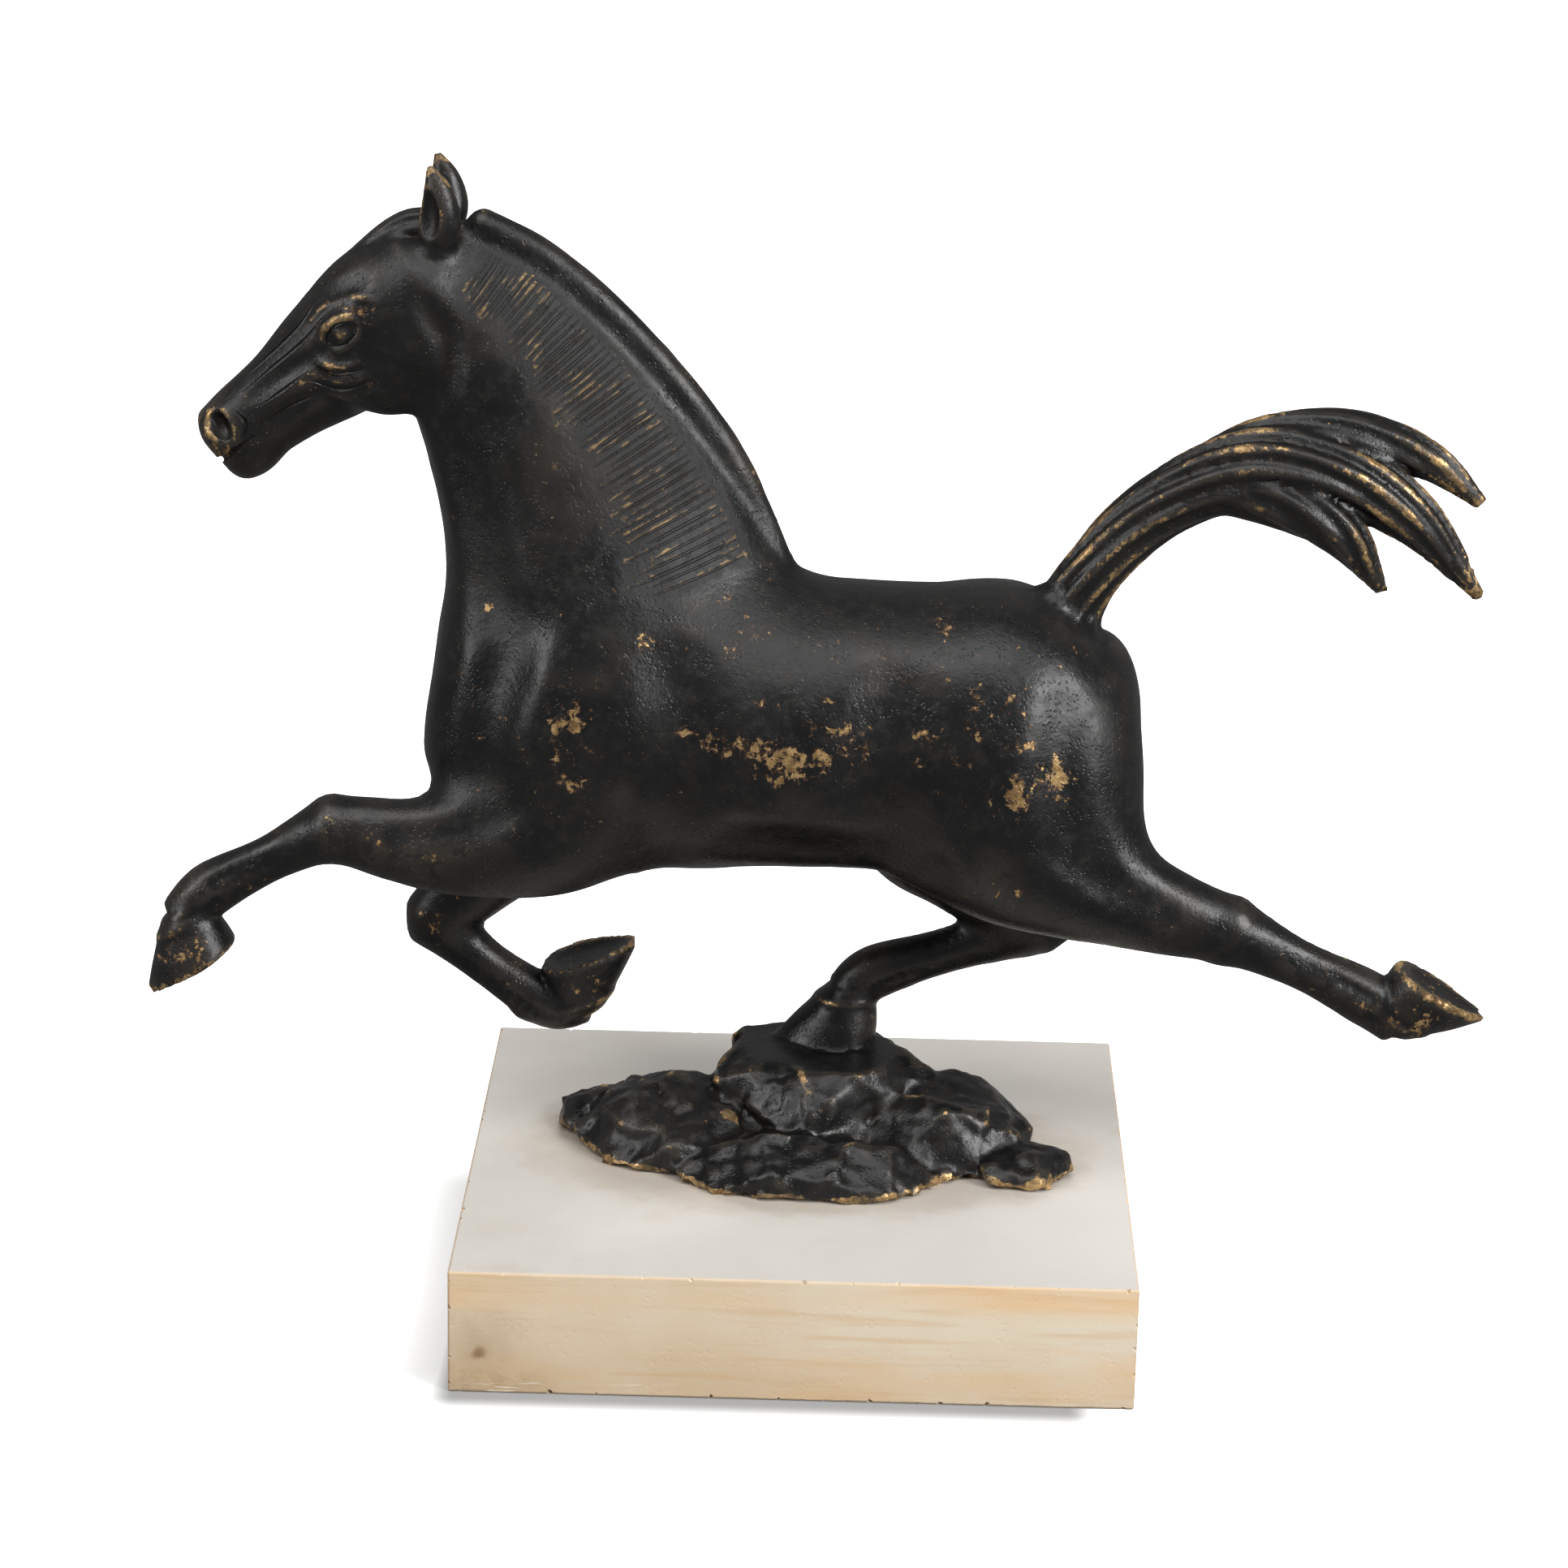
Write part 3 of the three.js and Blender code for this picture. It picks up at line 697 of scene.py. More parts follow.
def sheet_faces(inside, pattern, table, first):
    """A face across each edge of the grid that the surface crosses, round the four cells sharing the edge."""
    faces = []
    for axis in range(3):
        right, up = (axis + 1) % 3, (axis + 2) % 3
        start = [slice(1, -1)] * 3
        start[axis] = slice(0, -1)
        end = list(start)
        end[axis] = slice(1, None)
        flip = inside[tuple(start)] != inside[tuple(end)]
        spots = np.argwhere(flip) + [int(a != axis) for a in range(3)]
        ring = []
        for step_right, step_up in ((1, 1), (0, 1), (0, 0), (1, 0)):
            corner = [0, 0, 0]
            corner[right], corner[up] = step_right, step_up
            cell = tuple((spots - corner).T)
            number = CELL_EDGES.index((axis, tuple(corner)))
            ring.append(first[cell] + table[pattern[cell], number])
        quads = np.column_stack(ring)
        outward = inside[tuple(spots.T)]
        faces.append(np.where(outward[:, None], quads, quads[:, ::-1]))
    return np.concatenate(faces)


def skin_over(values, low, step):
    """Points and four-sided faces where the depth changes sign, with a point for each sheet in a cell."""
    inside = values < 0
    cells = np.array(values.shape) - 1
    pattern = np.zeros(cells, int)
    for a, b, c in np.ndindex(2, 2, 2):
        pattern += inside[a:a + cells[0], b:b + cells[1], c:c + cells[2]] << (a * 4 + b * 2 + c)
    table = np.array([sheets_in_cell(kind) for kind in range(256)])
    crossed = np.argwhere((pattern > 0) & (pattern < 255))
    sheets = table.max(1)[pattern[tuple(crossed.T)]] + 1
    first = np.zeros(cells, int)
    first[tuple(crossed.T)] = np.cumsum(sheets) - sheets
    points = sheet_points(values, pattern, table, crossed, first, sheets.sum())
    return points * step + low, sheet_faces(inside, pattern, table, first)


def even_out(points, faces, share=0.5):
    """Each point moved part of the way to the middle of its neighbours."""
    a, b = faces.ravel(), np.roll(faces, -1, axis=1).ravel()
    total, hits = np.zeros_like(points), np.zeros(len(points))
    for start, end in ((a, b), (b, a)):
        hits += np.bincount(start, minlength=len(points))
        for axis in range(3):
            total[:, axis] += np.bincount(start, points[end, axis], minlength=len(points))
    return points + (total / hits[:, None] - points) * share


def mesh_points(mesh):
    points = np.empty(len(mesh.vertices) * 3)
    mesh.vertices.foreach_get("co", points)
    return points.reshape(-1, 3) / MM


def set_mesh_points(mesh, points):
    mesh.vertices.foreach_set("co", (points * MM).astype(np.float32).ravel())
    mesh.update()


# Where the model is worked finer and finest: the low and high corners of boxes, and reaches round a spot
HEAD_BOX = [[-FAR, -FAR, 146], [-60, FAR, FAR]]
MANE_BOX = [[-60, -6, 141], [4, 6, FAR]]
TAIL_BOX = [[44, -FAR, 128], [FAR, FAR, FAR]]
ROCK_BOX = [[-60, -FAR, PLINTH_TOP + 0.6], [56, FAR, LEDGE + 1]]
EAR_BOX = [[-72, -FAR, 190], [FAR, FAR, FAR]]
HOOF_REACH, EYE_REACH, NOSTRIL_REACH = 15, 6.5, 4.5


def within(points, box):
    low, high = np.array(box)
    return ((points > low) & (points < high)).all(1)


def wants_detail(points):
    """Where the model is worked finer: the head, the mane, the tail, the hooves and the rock."""
    x, _, z = points.T
    above_withers = z - 141 > (x + 4) * -0.8
    finer = within(points, MANE_BOX) & above_withers
    for box in (HEAD_BOX, TAIL_BOX, ROCK_BOX):
        finer |= within(points, box)
    for leg in LEGS.values():
        top = np.array(leg["shank"][-1][:3]) * [1, leg["side"], 1]
        finer |= np.linalg.norm(points - top, axis=1) < HOOF_REACH
    return finer


def wants_most_detail(points):
    """Where the model is worked finest: the eyes, the nostrils and the ears."""
    finest = within(points, EAR_BOX)
    for form, reach in ((EYE, EYE_REACH), (NOSTRIL, NOSTRIL_REACH)):
        finest |= np.linalg.norm(np.abs(points) - np.abs(form["at"]), axis=1) < reach
    return finest & (points[:, 2] > HEAD_BOX[0][2])


def raw_casting(wax):
    """The casting's skin as a mesh, finer where the detail is."""
    low, high = (np.array(corner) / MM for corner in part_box("horse_casting"))
    low, high = low - GRID_MARGIN, high + GRID_MARGIN
    points, faces = skin_over(depth_grid(wax, low, high, GRID_STEP), low, GRID_STEP)
    for _ in range(3):
        points = wax.settle(even_out(points, faces), 1)
    mesh = bpy.data.meshes.new("horse_casting_skin")
    mesh.from_pydata((points * MM).tolist(), [], faces.tolist())
    for worked_finer in (wants_detail, wants_most_detail):
        work = bmesh.new()
        work.from_mesh(mesh)
        fine = worked_finer(mesh_points(mesh))
        edges = [edge for edge in work.edges if fine[edge.verts[0].index] and fine[edge.verts[1].index]]
        bmesh.ops.subdivide_edges(work, edges=edges, cuts=1, use_grid_fill=True)
        work.to_mesh(mesh)
        work.free()
    points = in_batches(lambda part: wax.skin(part, 2)[0], mesh_points(mesh))
    flat = points[:, 2] < PLINTH_TOP + 0.15
    points[flat, 2] = PLINTH_TOP
    set_mesh_points(mesh, points)
    return mesh


# Objects and node trees

def shown(name, data):
    """A new object in the scene, from a mesh, a light or a camera."""
    thing = bpy.data.objects.new(name, data)
    bpy.context.scene.collection.objects.link(thing)
    return thing


def add_node(tree, kind, inputs=None, **settings):
    """A node with its settings, and for each input a value or the socket that it is linked from."""
    node = tree.nodes.new(kind)
    for name, value in settings.items():
        setattr(node, name, value)
    for name, value in (inputs or {}).items():
        if isinstance(value, bpy.types.NodeSocket):
            tree.links.new(value, node.inputs[name])
        else:
            node.inputs[name].default_value = value
    return node


def new_tree(name, kind, inputs, outputs):
    """A node group with named inputs, given as name, type and value, and its input and output nodes."""
    tree = bpy.data.node_groups.new(name, kind)
    for title, socket_type, value in inputs:
        socket = tree.interface.new_socket(title, in_out="INPUT", socket_type=socket_type)
        if value is not None:
            socket.default_value = value
    for title, socket_type in outputs:
        tree.interface.new_socket(title, in_out="OUTPUT", socket_type=socket_type)
    return tree, tree.nodes.new("NodeGroupInput").outputs, tree.nodes.new("NodeGroupOutput").inputs


def finished(tree, made, given, out):
    """The tree's end: what it made as real geometry, with its material set."""
    real = add_node(tree, "GeometryNodeRealizeInstances", {"Geometry": made})
    inputs = {"Geometry": real.outputs[0], "Material": given["Material"]}
    tree.links.new(add_node(tree, "GeometryNodeSetMaterial", inputs).outputs[0], out["Geometry"])
    return tree


def swept_gouge():
    """Round gouge cuts swept along every line of a mesh of guides, as thick as its radius attribute says."""
    tree, given, out = new_tree("swept_gouge", "GeometryNodeTree", [
        ("Geometry", "NodeSocketGeometry", None),
        ("Thickness", "NodeSocketFloat", 1.0),
        ("Sides", "NodeSocketInt", 8),
        ("Material", "NodeSocketMaterial", None),
    ], [("Geometry", "NodeSocketGeometry")])
    lines = add_node(tree, "GeometryNodeMeshToCurve", {"Mesh": given["Geometry"]})
    radius = add_node(tree, "GeometryNodeInputNamedAttribute", {"Name": "radius"}, data_type="FLOAT")
    sizes = {0: radius.outputs[0], 1: given["Thickness"]}
    thick = add_node(tree, "ShaderNodeMath", sizes, operation="MULTIPLY")
    circle = add_node(tree, "GeometryNodeCurvePrimitiveCircle", {"Resolution": given["Sides"], "Radius": 1.0})
    swept = add_node(tree, "GeometryNodeCurveToMesh", {
        "Curve": lines.outputs[0],
        "Profile Curve": circle.outputs[0],
        "Scale": thick.outputs[0],
        "Fill Caps": True,
    })
    return finished(tree, swept.outputs[0], given, out)


def arris_chips():
    """Small chips set at random along every line of a mesh of guides."""
    tree, given, out = new_tree("arris_chips", "GeometryNodeTree", [
        ("Geometry", "NodeSocketGeometry", None),
        ("Spacing", "NodeSocketFloat", 0.004),
        ("Smallest", "NodeSocketFloat", 0.0003),
        ("Largest", "NodeSocketFloat", 0.0009),
        ("Share", "NodeSocketFloat", 0.5),
        ("Seed", "NodeSocketInt", 7),
        ("Material", "NodeSocketMaterial", None),
    ], [("Geometry", "NodeSocketGeometry")])
    lines = add_node(tree, "GeometryNodeMeshToCurve", {"Mesh": given["Geometry"]})
    spots = add_node(tree, "GeometryNodeCurveToPoints",
                     {"Curve": lines.outputs[0], "Length": given["Spacing"]}, mode="LENGTH")
    by_chance = {"Probability": given["Share"], "Seed": given["Seed"]}
    kept = add_node(tree, "FunctionNodeRandomValue", by_chance, data_type="BOOLEAN")
    sizes = {2: given["Smallest"], 3: given["Largest"], "Seed": given["Seed"]}
    size = add_node(tree, "FunctionNodeRandomValue", sizes, data_type="FLOAT")
    turns = {"Min": (0, 0, 0), "Max": (6.28, 6.28, 6.28), "Seed": given["Seed"]}
    turn = add_node(tree, "FunctionNodeRandomValue", turns, data_type="FLOAT_VECTOR")
    pebble = add_node(tree, "GeometryNodeMeshIcoSphere", {"Radius": 1.0, "Subdivisions": 1})
    flat = add_node(tree, "GeometryNodeTransform", {"Geometry": pebble.outputs[0], "Scale": (1.7, 1.0, 0.7)})
    strewn = add_node(tree, "GeometryNodeInstanceOnPoints", {
        "Points": spots.outputs[0],
        "Selection": kept.outputs[3],
        "Instance": flat.outputs[0],
        "Rotation": turn.outputs[0],
        "Scale": size.outputs[1],
    })
    return finished(tree, strewn.outputs[0], given, out)


def made_by(tree, guides, name, **values):
    """The plain mesh object that a tree makes from a mesh of guides."""
    maker = shown(name + "_guides", guides)
    modifier = maker.modifiers.new("making", "NODES")
    modifier.node_group = tree
    for item in tree.interface.items_tree:
        if item.in_out == "INPUT" and item.name in values:
            modifier[item.identifier] = values[item.name]
    made = maker.evaluated_get(bpy.context.evaluated_depsgraph_get())
    mesh = bpy.data.meshes.new_from_object(made)
    mesh.name = name
    bpy.data.objects.remove(maker)
    return shown(name, mesh)


def cut(piece, tool):
    """The tool taken out of the piece, and the tool thrown away."""
    modifier = piece.modifiers.new("cut", "BOOLEAN")
    modifier.operation = "DIFFERENCE"
    modifier.solver = "MANIFOLD"
    modifier.object = tool
    made = piece.evaluated_get(bpy.context.evaluated_depsgraph_get())
    mesh = bpy.data.meshes.new_from_object(made)
    piece.modifiers.remove(modifier)
    piece.data = mesh
    bpy.data.objects.remove(tool)


class Guides:
    """Lines for tools to follow, gathered into one mesh of edges with the tool's radius at each point."""

    def __init__(self):
        self.points, self.edges, self.radii = [], [], []

    def stroke(self, line, normal, radius, press, fade=0.2):
        """A stroke whose tool is pressed in by a share of its radius, and fades towards both ends."""
        share = np.linspace(0, 1, len(line))
        size = radius * np.clip(np.minimum(share, 1 - share) / fade, 0.16, 1) ** 0.6
        start = len(self.radii)
        self.points += list(line + normal * (size * (1 - press))[:, None])
        self.radii += list(size)
        self.edges += [(i, i + 1) for i in range(start, start + len(line) - 1)]

    def mesh(self, name):
        mesh = bpy.data.meshes.new(name)
        mesh.from_pydata((np.array(self.points) * MM).tolist(), self.edges, [])
        radius = mesh.attributes.new("radius", "FLOAT", "POINT")
        radius.data.foreach_set("value", np.array(self.radii) * MM)
        return mesh


# Carved lines

HATCH = {"strokes": 52, "radius": 0.37, "press": 0.95, "from": 0.2, "to": 0.93, "crest": -0.84,
         "throat": -0.22, "slant": 0.02}
MOUTH = {"corner": [-97.6, 157.6], "tip": [-107, 150.6], "half_width": 7.5, "radius": 0.7}
LID_CUT, WRINKLE_CUT = 0.3, 0.5
WRINKLES = [
    [[-87.6, 171.8], [-83.6, 170.2], [-78.4, 171.2]],
    [[-87.6, 168.6], [-82.6, 167.2], [-77, 169.2]],
    [[-100, 165.6], [-95, 170], [-89, 175.4], [-85.6, 179.6]],
    [[-99.4, 168.2], [-95, 172.4], [-90, 177.6], [-87, 182]],
    [[-97, 163.4], [-92.6, 166.6], [-88, 170.4]],
    [[-96.6, 160.4], [-91.6, 163.6], [-87.4, 165.6]],
    [[-101, 162.6], [-99.4, 160.6], [-99.6, 158.4]],
]


def carve_mane(wax, guides, side):
    """Hatching on the neck, between the smooth crest and the bare throat."""
    shaky = np.random.default_rng(21 + side)
    count = HATCH["strokes"]
    pitch = (HATCH["to"] - HATCH["from"]) / (count - 1)
    lines, radii = [], []
    for i in range(count):
        share = HATCH["from"] + pitch * (i + shaky.uniform(-0.16, 0.16))
        deep = np.linspace(HATCH["crest"], HATCH["throat"] + shaky.uniform(-0.16, 0.05), 15)
        lines.append(neck_places(share - HATCH["slant"] * (deep - deep[0]), deep, side))
        radii.append(HATCH["radius"] * shaky.uniform(0.8, 1.15))
    points, slopes = wax.skin(np.concatenate(lines))
    for line, slope, radius in zip(np.split(points, count), np.split(slopes, count), radii):
        guides.stroke(line, slope, radius, HATCH["press"])


def carve_face(wax, guides):
    """The mouth, the edges of the eyelids and the wrinkles of the face."""
    turn = np.linspace(-0.5 * math.pi, 0.5 * math.pi, 30)
    corner, tip = np.array(MOUTH["corner"]), np.array(MOUTH["tip"])
    ahead = np.cos(turn)[:, None] ** 0.8
    spots = corner * (1 - ahead) + tip * ahead
    ring = np.column_stack([spots[:, 0], MOUTH["half_width"] * np.sin(turn), spots[:, 1]])
    line, normal = wax.skin(ring, 8)
    guides.stroke(line, normal, MOUTH["radius"], 1.1, fade=0.12)
    edges = [lid_line(first, last, 0.86 * reach, 0.72 * rise) for first, last, reach, rise, _ in LIDS]
    lines = edges + WRINKLES
    radii = [LID_CUT] * len(LIDS) + [WRINKLE_CUT] * len(WRINKLES)
    for side in (NEAR_SIDE, OFF_SIDE):
        laid = lines_on_flank(wax, lines, side, count=11)
        points, slopes = wax.skin(np.concatenate([points for points, _ in laid]), 1)
        for line, slope, radius in zip(np.split(points, len(lines)), np.split(slopes, len(lines)), radii):
            guides.stroke(line, slope, radius, 0.9, fade=0.4)


def carved_casting(wax):
    """The casting with its fine lines carved in."""
    casting = shown("bronze_horse", raw_casting(wax))
    guides = Guides()
    for side in (NEAR_SIDE, OFF_SIDE):
        carve_mane(wax, guides, side)
    strokes = np.array(guides.points)
    carve_face(wax, guides)
    cut(casting, made_by(swept_gouge(), guides.mesh("carving_lines"), "gouge_cuts"))
    casting.data.shade_smooth()
    casting.data.set_sharp_from_angle(angle=math.radians(38))
    mark_casting(wax, casting.data, strokes)
    return casting


# Marks that the finish follows, kept on the casting's points

# Where the patina is rubbed off: x, z, reach along and reach up, and how strongly
RUBBED = [
    [-42, 112, 3.4, 3, 1.0], [-48, 112, 2, 1.8, 0.6], [-41, 102, 2.8, 2.4, 0.85],
    [-44, 106.5, 1.6, 2.4, 0.6], [-56.4, 130.2, 1.2, 1.4, 0.75], [-32, 121.7, 2, 2.6, 0.8],
    [-29, 126.5, 1.2, 2, 0.6], [-16, 133, 1.6, 1.2, 0.85], [-10.4, 128.4, 2, 2.4, 0.8],
    [-20, 111, 2.4, 1.5, 0.8], [-13, 109.6, 6, 2, 0.93], [-5, 107.2, 4.6, 3, 1.1],
    [3.4, 107.6, 4.6, 2.4, 1.0], [-4.7, 103.4, 3, 1.9, 1.0], [9.4, 108, 2.6, 2.4, 0.8],
    [-6, 113.8, 1.5, 1.4, 0.65], [5, 112.4, 8, 2.6, 0.55], [19.8, 112, 2.4, 2, 0.8],
    [16, 125, 2, 1.5, 0.6], [24, 127.3, 2, 2, 0.75], [29.4, 119, 1.6, 1.8, 0.85],
    [28.5, 112.6, 2.2, 1.4, 0.5], [36.4, 102.2, 3.9, 3.3, 1.05], [43.2, 104.6, 2.1, 3.9, 1.1],
    [39, 110.4, 3.2, 1.7, 0.8], [27.6, 107.6, 2.2, 2, 0.7], [37, 127.6, 2.6, 1.8, 0.55],
    [46, 125, 2.4, 1.6, 0.5], [36.4, 82.7, 2.6, 3, 0.6], [4, 117, 20, 9, 0.17], [-43, 110, 13, 13, 0.26],
    [34, 111, 13, 14, 0.3], [-70, 88, 9, 4, 0.4], [-111, 66, 5, 4, 0.78], [-101, 78, 4, 3, 0.45],
    [111, 60, 6, 4, 0.8], [92, 66, 9, 4, 0.38], [-45.5, 53, 5, 3.4, 0.75], [-74, 64, 3, 4, 0.8],
    [20, 55, 9, 3, 0.45], [-103.5, 155, 2, 1.8, 1.2], [-80, 182, 5, 2, 0.65], [-83, 169, 5, 3, 0.6],
    [82, 155, 12, 5, 0.4],
]


# On the off side these places lie a little further back and lower. They fade out towards the middle.
OFF_SIDE_SHIFT = [5, -2]
RUBBED_FALL = 0.7
RUBBED_FADE = 12


def rubbed_places(points):
    """How much the patina is rubbed off, from 0 to 1."""
    total = np.zeros(len(points))
    off_side = points[:, 1] > 0
    side_view = points[:, [0, 2]] - off_side[:, None] * OFF_SIDE_SHIFT
    for x, z, along, up, strength in RUBBED:
        square = (((side_view - [x, z]) / [along, up]) ** 2).sum(1)
        total = np.maximum(total, strength * np.exp(-square * RUBBED_FALL))
    return total * np.clip(np.abs(points[:, 1]) / RUBBED_FADE, 0, 1)


HATCH_MARK = {"reach": 2.4, "rim": 1.6, "above": 0.05, "sunk": -0.14, "batch": 1500}


def hatch_ridges(wax, points, strokes):
    """Two marks: 1 along the upper rims of the hatching's strokes, and 1 all over the hatched skin."""
    up = unit(np.array(NECK[-1][:3], float) - NECK[0][:3])
    value, among = np.zeros(len(points)), np.zeros(len(points))
    reach = HATCH_MARK["reach"]
    close = np.flatnonzero(within(points, [strokes.min(0) - reach, strokes.max(0) + reach]))
    for some in np.array_split(close, len(close) // HATCH_MARK["batch"] + 1):
        gap = points[some][:, None] - strokes[None]
        square = (gap ** 2).sum(2)
        nearest = square.argmin(1)
        above = (gap[np.arange(len(some)), nearest] @ up) > HATCH_MARK["above"]
        rim = square.min(1) < (HATCH_MARK["rim"] * HATCH["radius"]) ** 2
        on_skin = wax.depth(points[some]) > HATCH_MARK["sunk"]
        value[some] = np.where(above & rim & on_skin, 1.0, 0.0)
        among[some] = np.clip(reach - np.sqrt(square.min(1)), 0, 1)
    return value, among


FULL_EXPOSURE = 0.6


def edge_exposure(wax, points, reach=1.6):
    """How far each point stands out from what is round it: above 0 on an edge, below 0 in a hollow."""
    corners = np.array(list(np.ndindex(2, 2, 2))) * 2.0 - 1
    around = [wax.depth(points + corner * reach / math.sqrt(3)) for corner in corners]
    return sum(around) / len(around)


def mark(mesh, name, values):
    attribute = mesh.attributes.new(name, "FLOAT", "POINT")
    attribute.data.foreach_set("value", values.astype(np.float32))


def mark_casting(wax, mesh, strokes):
    points = mesh_points(mesh)
    exposure = in_batches(lambda part: edge_exposure(wax, part), points)
    mark(mesh, "exposure", exposure / FULL_EXPOSURE)
    carved, hatched = hatch_ridges(wax, points, strokes)
    mark(mesh, "carved", carved)
    mark(mesh, "hatched", hatched)
    mark(mesh, "rubbed", rubbed_places(points))


# Values worked out in a shader tree: each function adds its node to the tree that its sockets belong to

def is_socket(value):
    return isinstance(value, bpy.types.NodeSocket)


def tree_of(*values):
    return next(value.id_data for value in values if is_socket(value))


def vectors(operation, *values, result=0):
    node = add_node(tree_of(*values), "ShaderNodeVectorMath", dict(enumerate(values)), operation=operation)
    return node.outputs[result]


def numbers(operation, a, b):
    return add_node(tree_of(a, b), "ShaderNodeMath", {0: a, 1: b}, operation=operation).outputs[0]


def plus(a, b):
    return numbers("ADD", a, b)


def minus(a, b):
    return numbers("SUBTRACT", a, b)


def times(a, b):
    return numbers("MULTIPLY", a, b)


def larger(a, b):
    return numbers("MAXIMUM", a, b)


def smaller(a, b):
    return numbers("MINIMUM", a, b)


def ramped(value, low, high, start=0.0, end=1.0):
    """A value spread smoothly from low..high to start..end."""
    limits = {"Value": value, "From Min": low, "From Max": high, "To Min": start, "To Max": end}
    return add_node(value.id_data, "ShaderNodeMapRange", limits, interpolation_type="SMOOTHSTEP").outputs[0]


def mixed(factor, a, b):
    """Two colours mixed by a factor."""
    a, b = (colour if is_socket(colour) else (*colour, 1) for colour in (a, b))
    inputs = {"Factor": factor, 6: a, 7: b}
    return add_node(factor.id_data, "ShaderNodeMix", inputs, data_type="RGBA").outputs[2]


def noise(where, scale, detail, roughness=0.5, distortion=0.0):
    pattern = {"Scale": scale, "Detail": detail, "Roughness": roughness, "Distortion": distortion}
    return add_node(where.id_data, "ShaderNodeTexNoise", {"Vector": where, **pattern}).outputs[0]


def mapped(where, location=(0, 0, 0), rotation=(0, 0, 0), scale=(1, 1, 1)):
    inputs = {"Vector": where, "Location": location, "Rotation": rotation, "Scale": scale}
    return add_node(where.id_data, "ShaderNodeMapping", inputs).outputs[0]


def axes(where):
    return add_node(where.id_data, "ShaderNodeSeparateXYZ", {0: where}).outputs


def marked(where, name):
    """A mark that is kept on the piece's points."""
    return add_node(where.id_data, "ShaderNodeAttribute", attribute_name=name).outputs["Fac"]


def bumped(height, distance, strength):
    inputs = {"Height": height, "Distance": distance, "Strength": strength}
    return add_node(height.id_data, "ShaderNodeBump", inputs).outputs[0]


# Shader node groups shared by the materials

def mottled_group():
    """Soft irregular patches, as a mask from 0 to 1."""
    tree, given, out = new_tree("mottled", "ShaderNodeTree", [
        ("Vector", "NodeSocketVector", None),
        ("Scale", "NodeSocketFloat", 100.0),
        ("Detail", "NodeSocketFloat", 4.0),
        ("Low", "NodeSocketFloat", 0.4),
        ("High", "NodeSocketFloat", 0.6),
    ], [("Mask", "NodeSocketFloat")])
    patches = noise(given["Vector"], given["Scale"], given["Detail"], roughness=0.6)
    tree.links.new(ramped(patches, given["Low"], given["High"]), out["Mask"])
    return tree


def fine_pits_group():
    """The fine pits of a cast or honed surface, as a height."""
    tree, given, out = new_tree("fine_pits", "ShaderNodeTree", [
        ("Vector", "NodeSocketVector", None),
        ("Scale", "NodeSocketFloat", 1500.0),
        ("Grain", "NodeSocketFloat", 0.5),
    ], [("Height", "NodeSocketFloat")])
    cells = add_node(tree, "ShaderNodeTexVoronoi", {"Vector": given["Vector"], "Scale": given["Scale"]})
    pits = ramped(cells.outputs["Distance"], 0.12, 0.42)
    sparse = noise(given["Vector"], times(given["Scale"], 0.21), 3.0)
    kept = larger(pits, ramped(sparse, 0.62, 0.48))
    grain = noise(given["Vector"], times(given["Scale"], 0.7), 5.0, roughness=0.65)
    tree.links.new(plus(kept, times(grain, given["Grain"])), out["Height"])
    return tree


def wear_and_shade_edge_group():
    """A broken mask where the exposure of an edge or corner is above a level, from 0 to 1. It marks wear and
    dirt, and also a line of painted shade.
    """
    tree, given, out = new_tree("wear_and_shade_edge", "ShaderNodeTree", [
        ("Vector", "NodeSocketVector", None),
        ("Exposure", "NodeSocketFloat", 0.0),
        ("Level", "NodeSocketFloat", 0.4),
        ("Softness", "NodeSocketFloat", 0.15),
        ("Scale", "NodeSocketFloat", 400.0),
    ], [("Mask", "NodeSocketFloat")])
    waver = noise(given["Vector"], given["Scale"], 5.0, roughness=0.7)
    wavering = minus(plus(given["Exposure"], times(waver, 1.3)), 0.65)
    top = plus(given["Level"], given["Softness"])
    tree.links.new(ramped(wavering, given["Level"], top), out["Mask"])
    return tree


MOTTLED = mottled_group()
FINE_PITS = fine_pits_group()
WEAR_AND_SHADE_EDGE = wear_and_shade_edge_group()


def placed(group, where, **values):
    """What a shared group puts out at a place, with its own values."""
    inputs = {"Vector": where, **{name.title(): value for name, value in values.items()}}
    return add_node(where.id_data, "ShaderNodeGroup", inputs, node_tree=group).outputs[0]


def mottled(where, scale, detail, low, high):
    return placed(MOTTLED, where, scale=scale, detail=detail, low=low, high=high)


def wear_and_shade_edge(where, exposure, level, softness, scale):
    return placed(WEAR_AND_SHADE_EDGE, where, exposure=exposure, level=level, softness=softness, scale=scale)


def new_material(name, **constants):
    """A material, its shader and the object's own coordinates."""
    material = bpy.data.materials.new(name)
    material.use_nodes = True
    shader = material.node_tree.nodes["Principled BSDF"]
    for socket, value in constants.items():
        shader.inputs[socket.replace("_", " ")].default_value = value
    return material, shader, add_node(material.node_tree, "ShaderNodeTexCoord").outputs["Object"]


def feed(shader, **sockets):
    for name, value in sockets.items():
        shader.id_data.links.new(value, shader.inputs[name.replace("_", " ")])


# The bronze

BRONZE = {
    "cold_black": (0.0038, 0.0042, 0.0046),
    "warm_black": (0.0072, 0.0066, 0.0062),
    "speck": (0.017, 0.014, 0.011),
    "hollow": (0.007, 0.005, 0.0035),
    # Lighter edges: polishing wear, and a painted sheen
    "polish_and_painted_sheen": (0.034, 0.028, 0.022),
    "worn_thin": (0.055, 0.029, 0.015),
    "dark_gold": (0.2, 0.12, 0.05),
    "gold": (0.5, 0.33, 0.15),
}


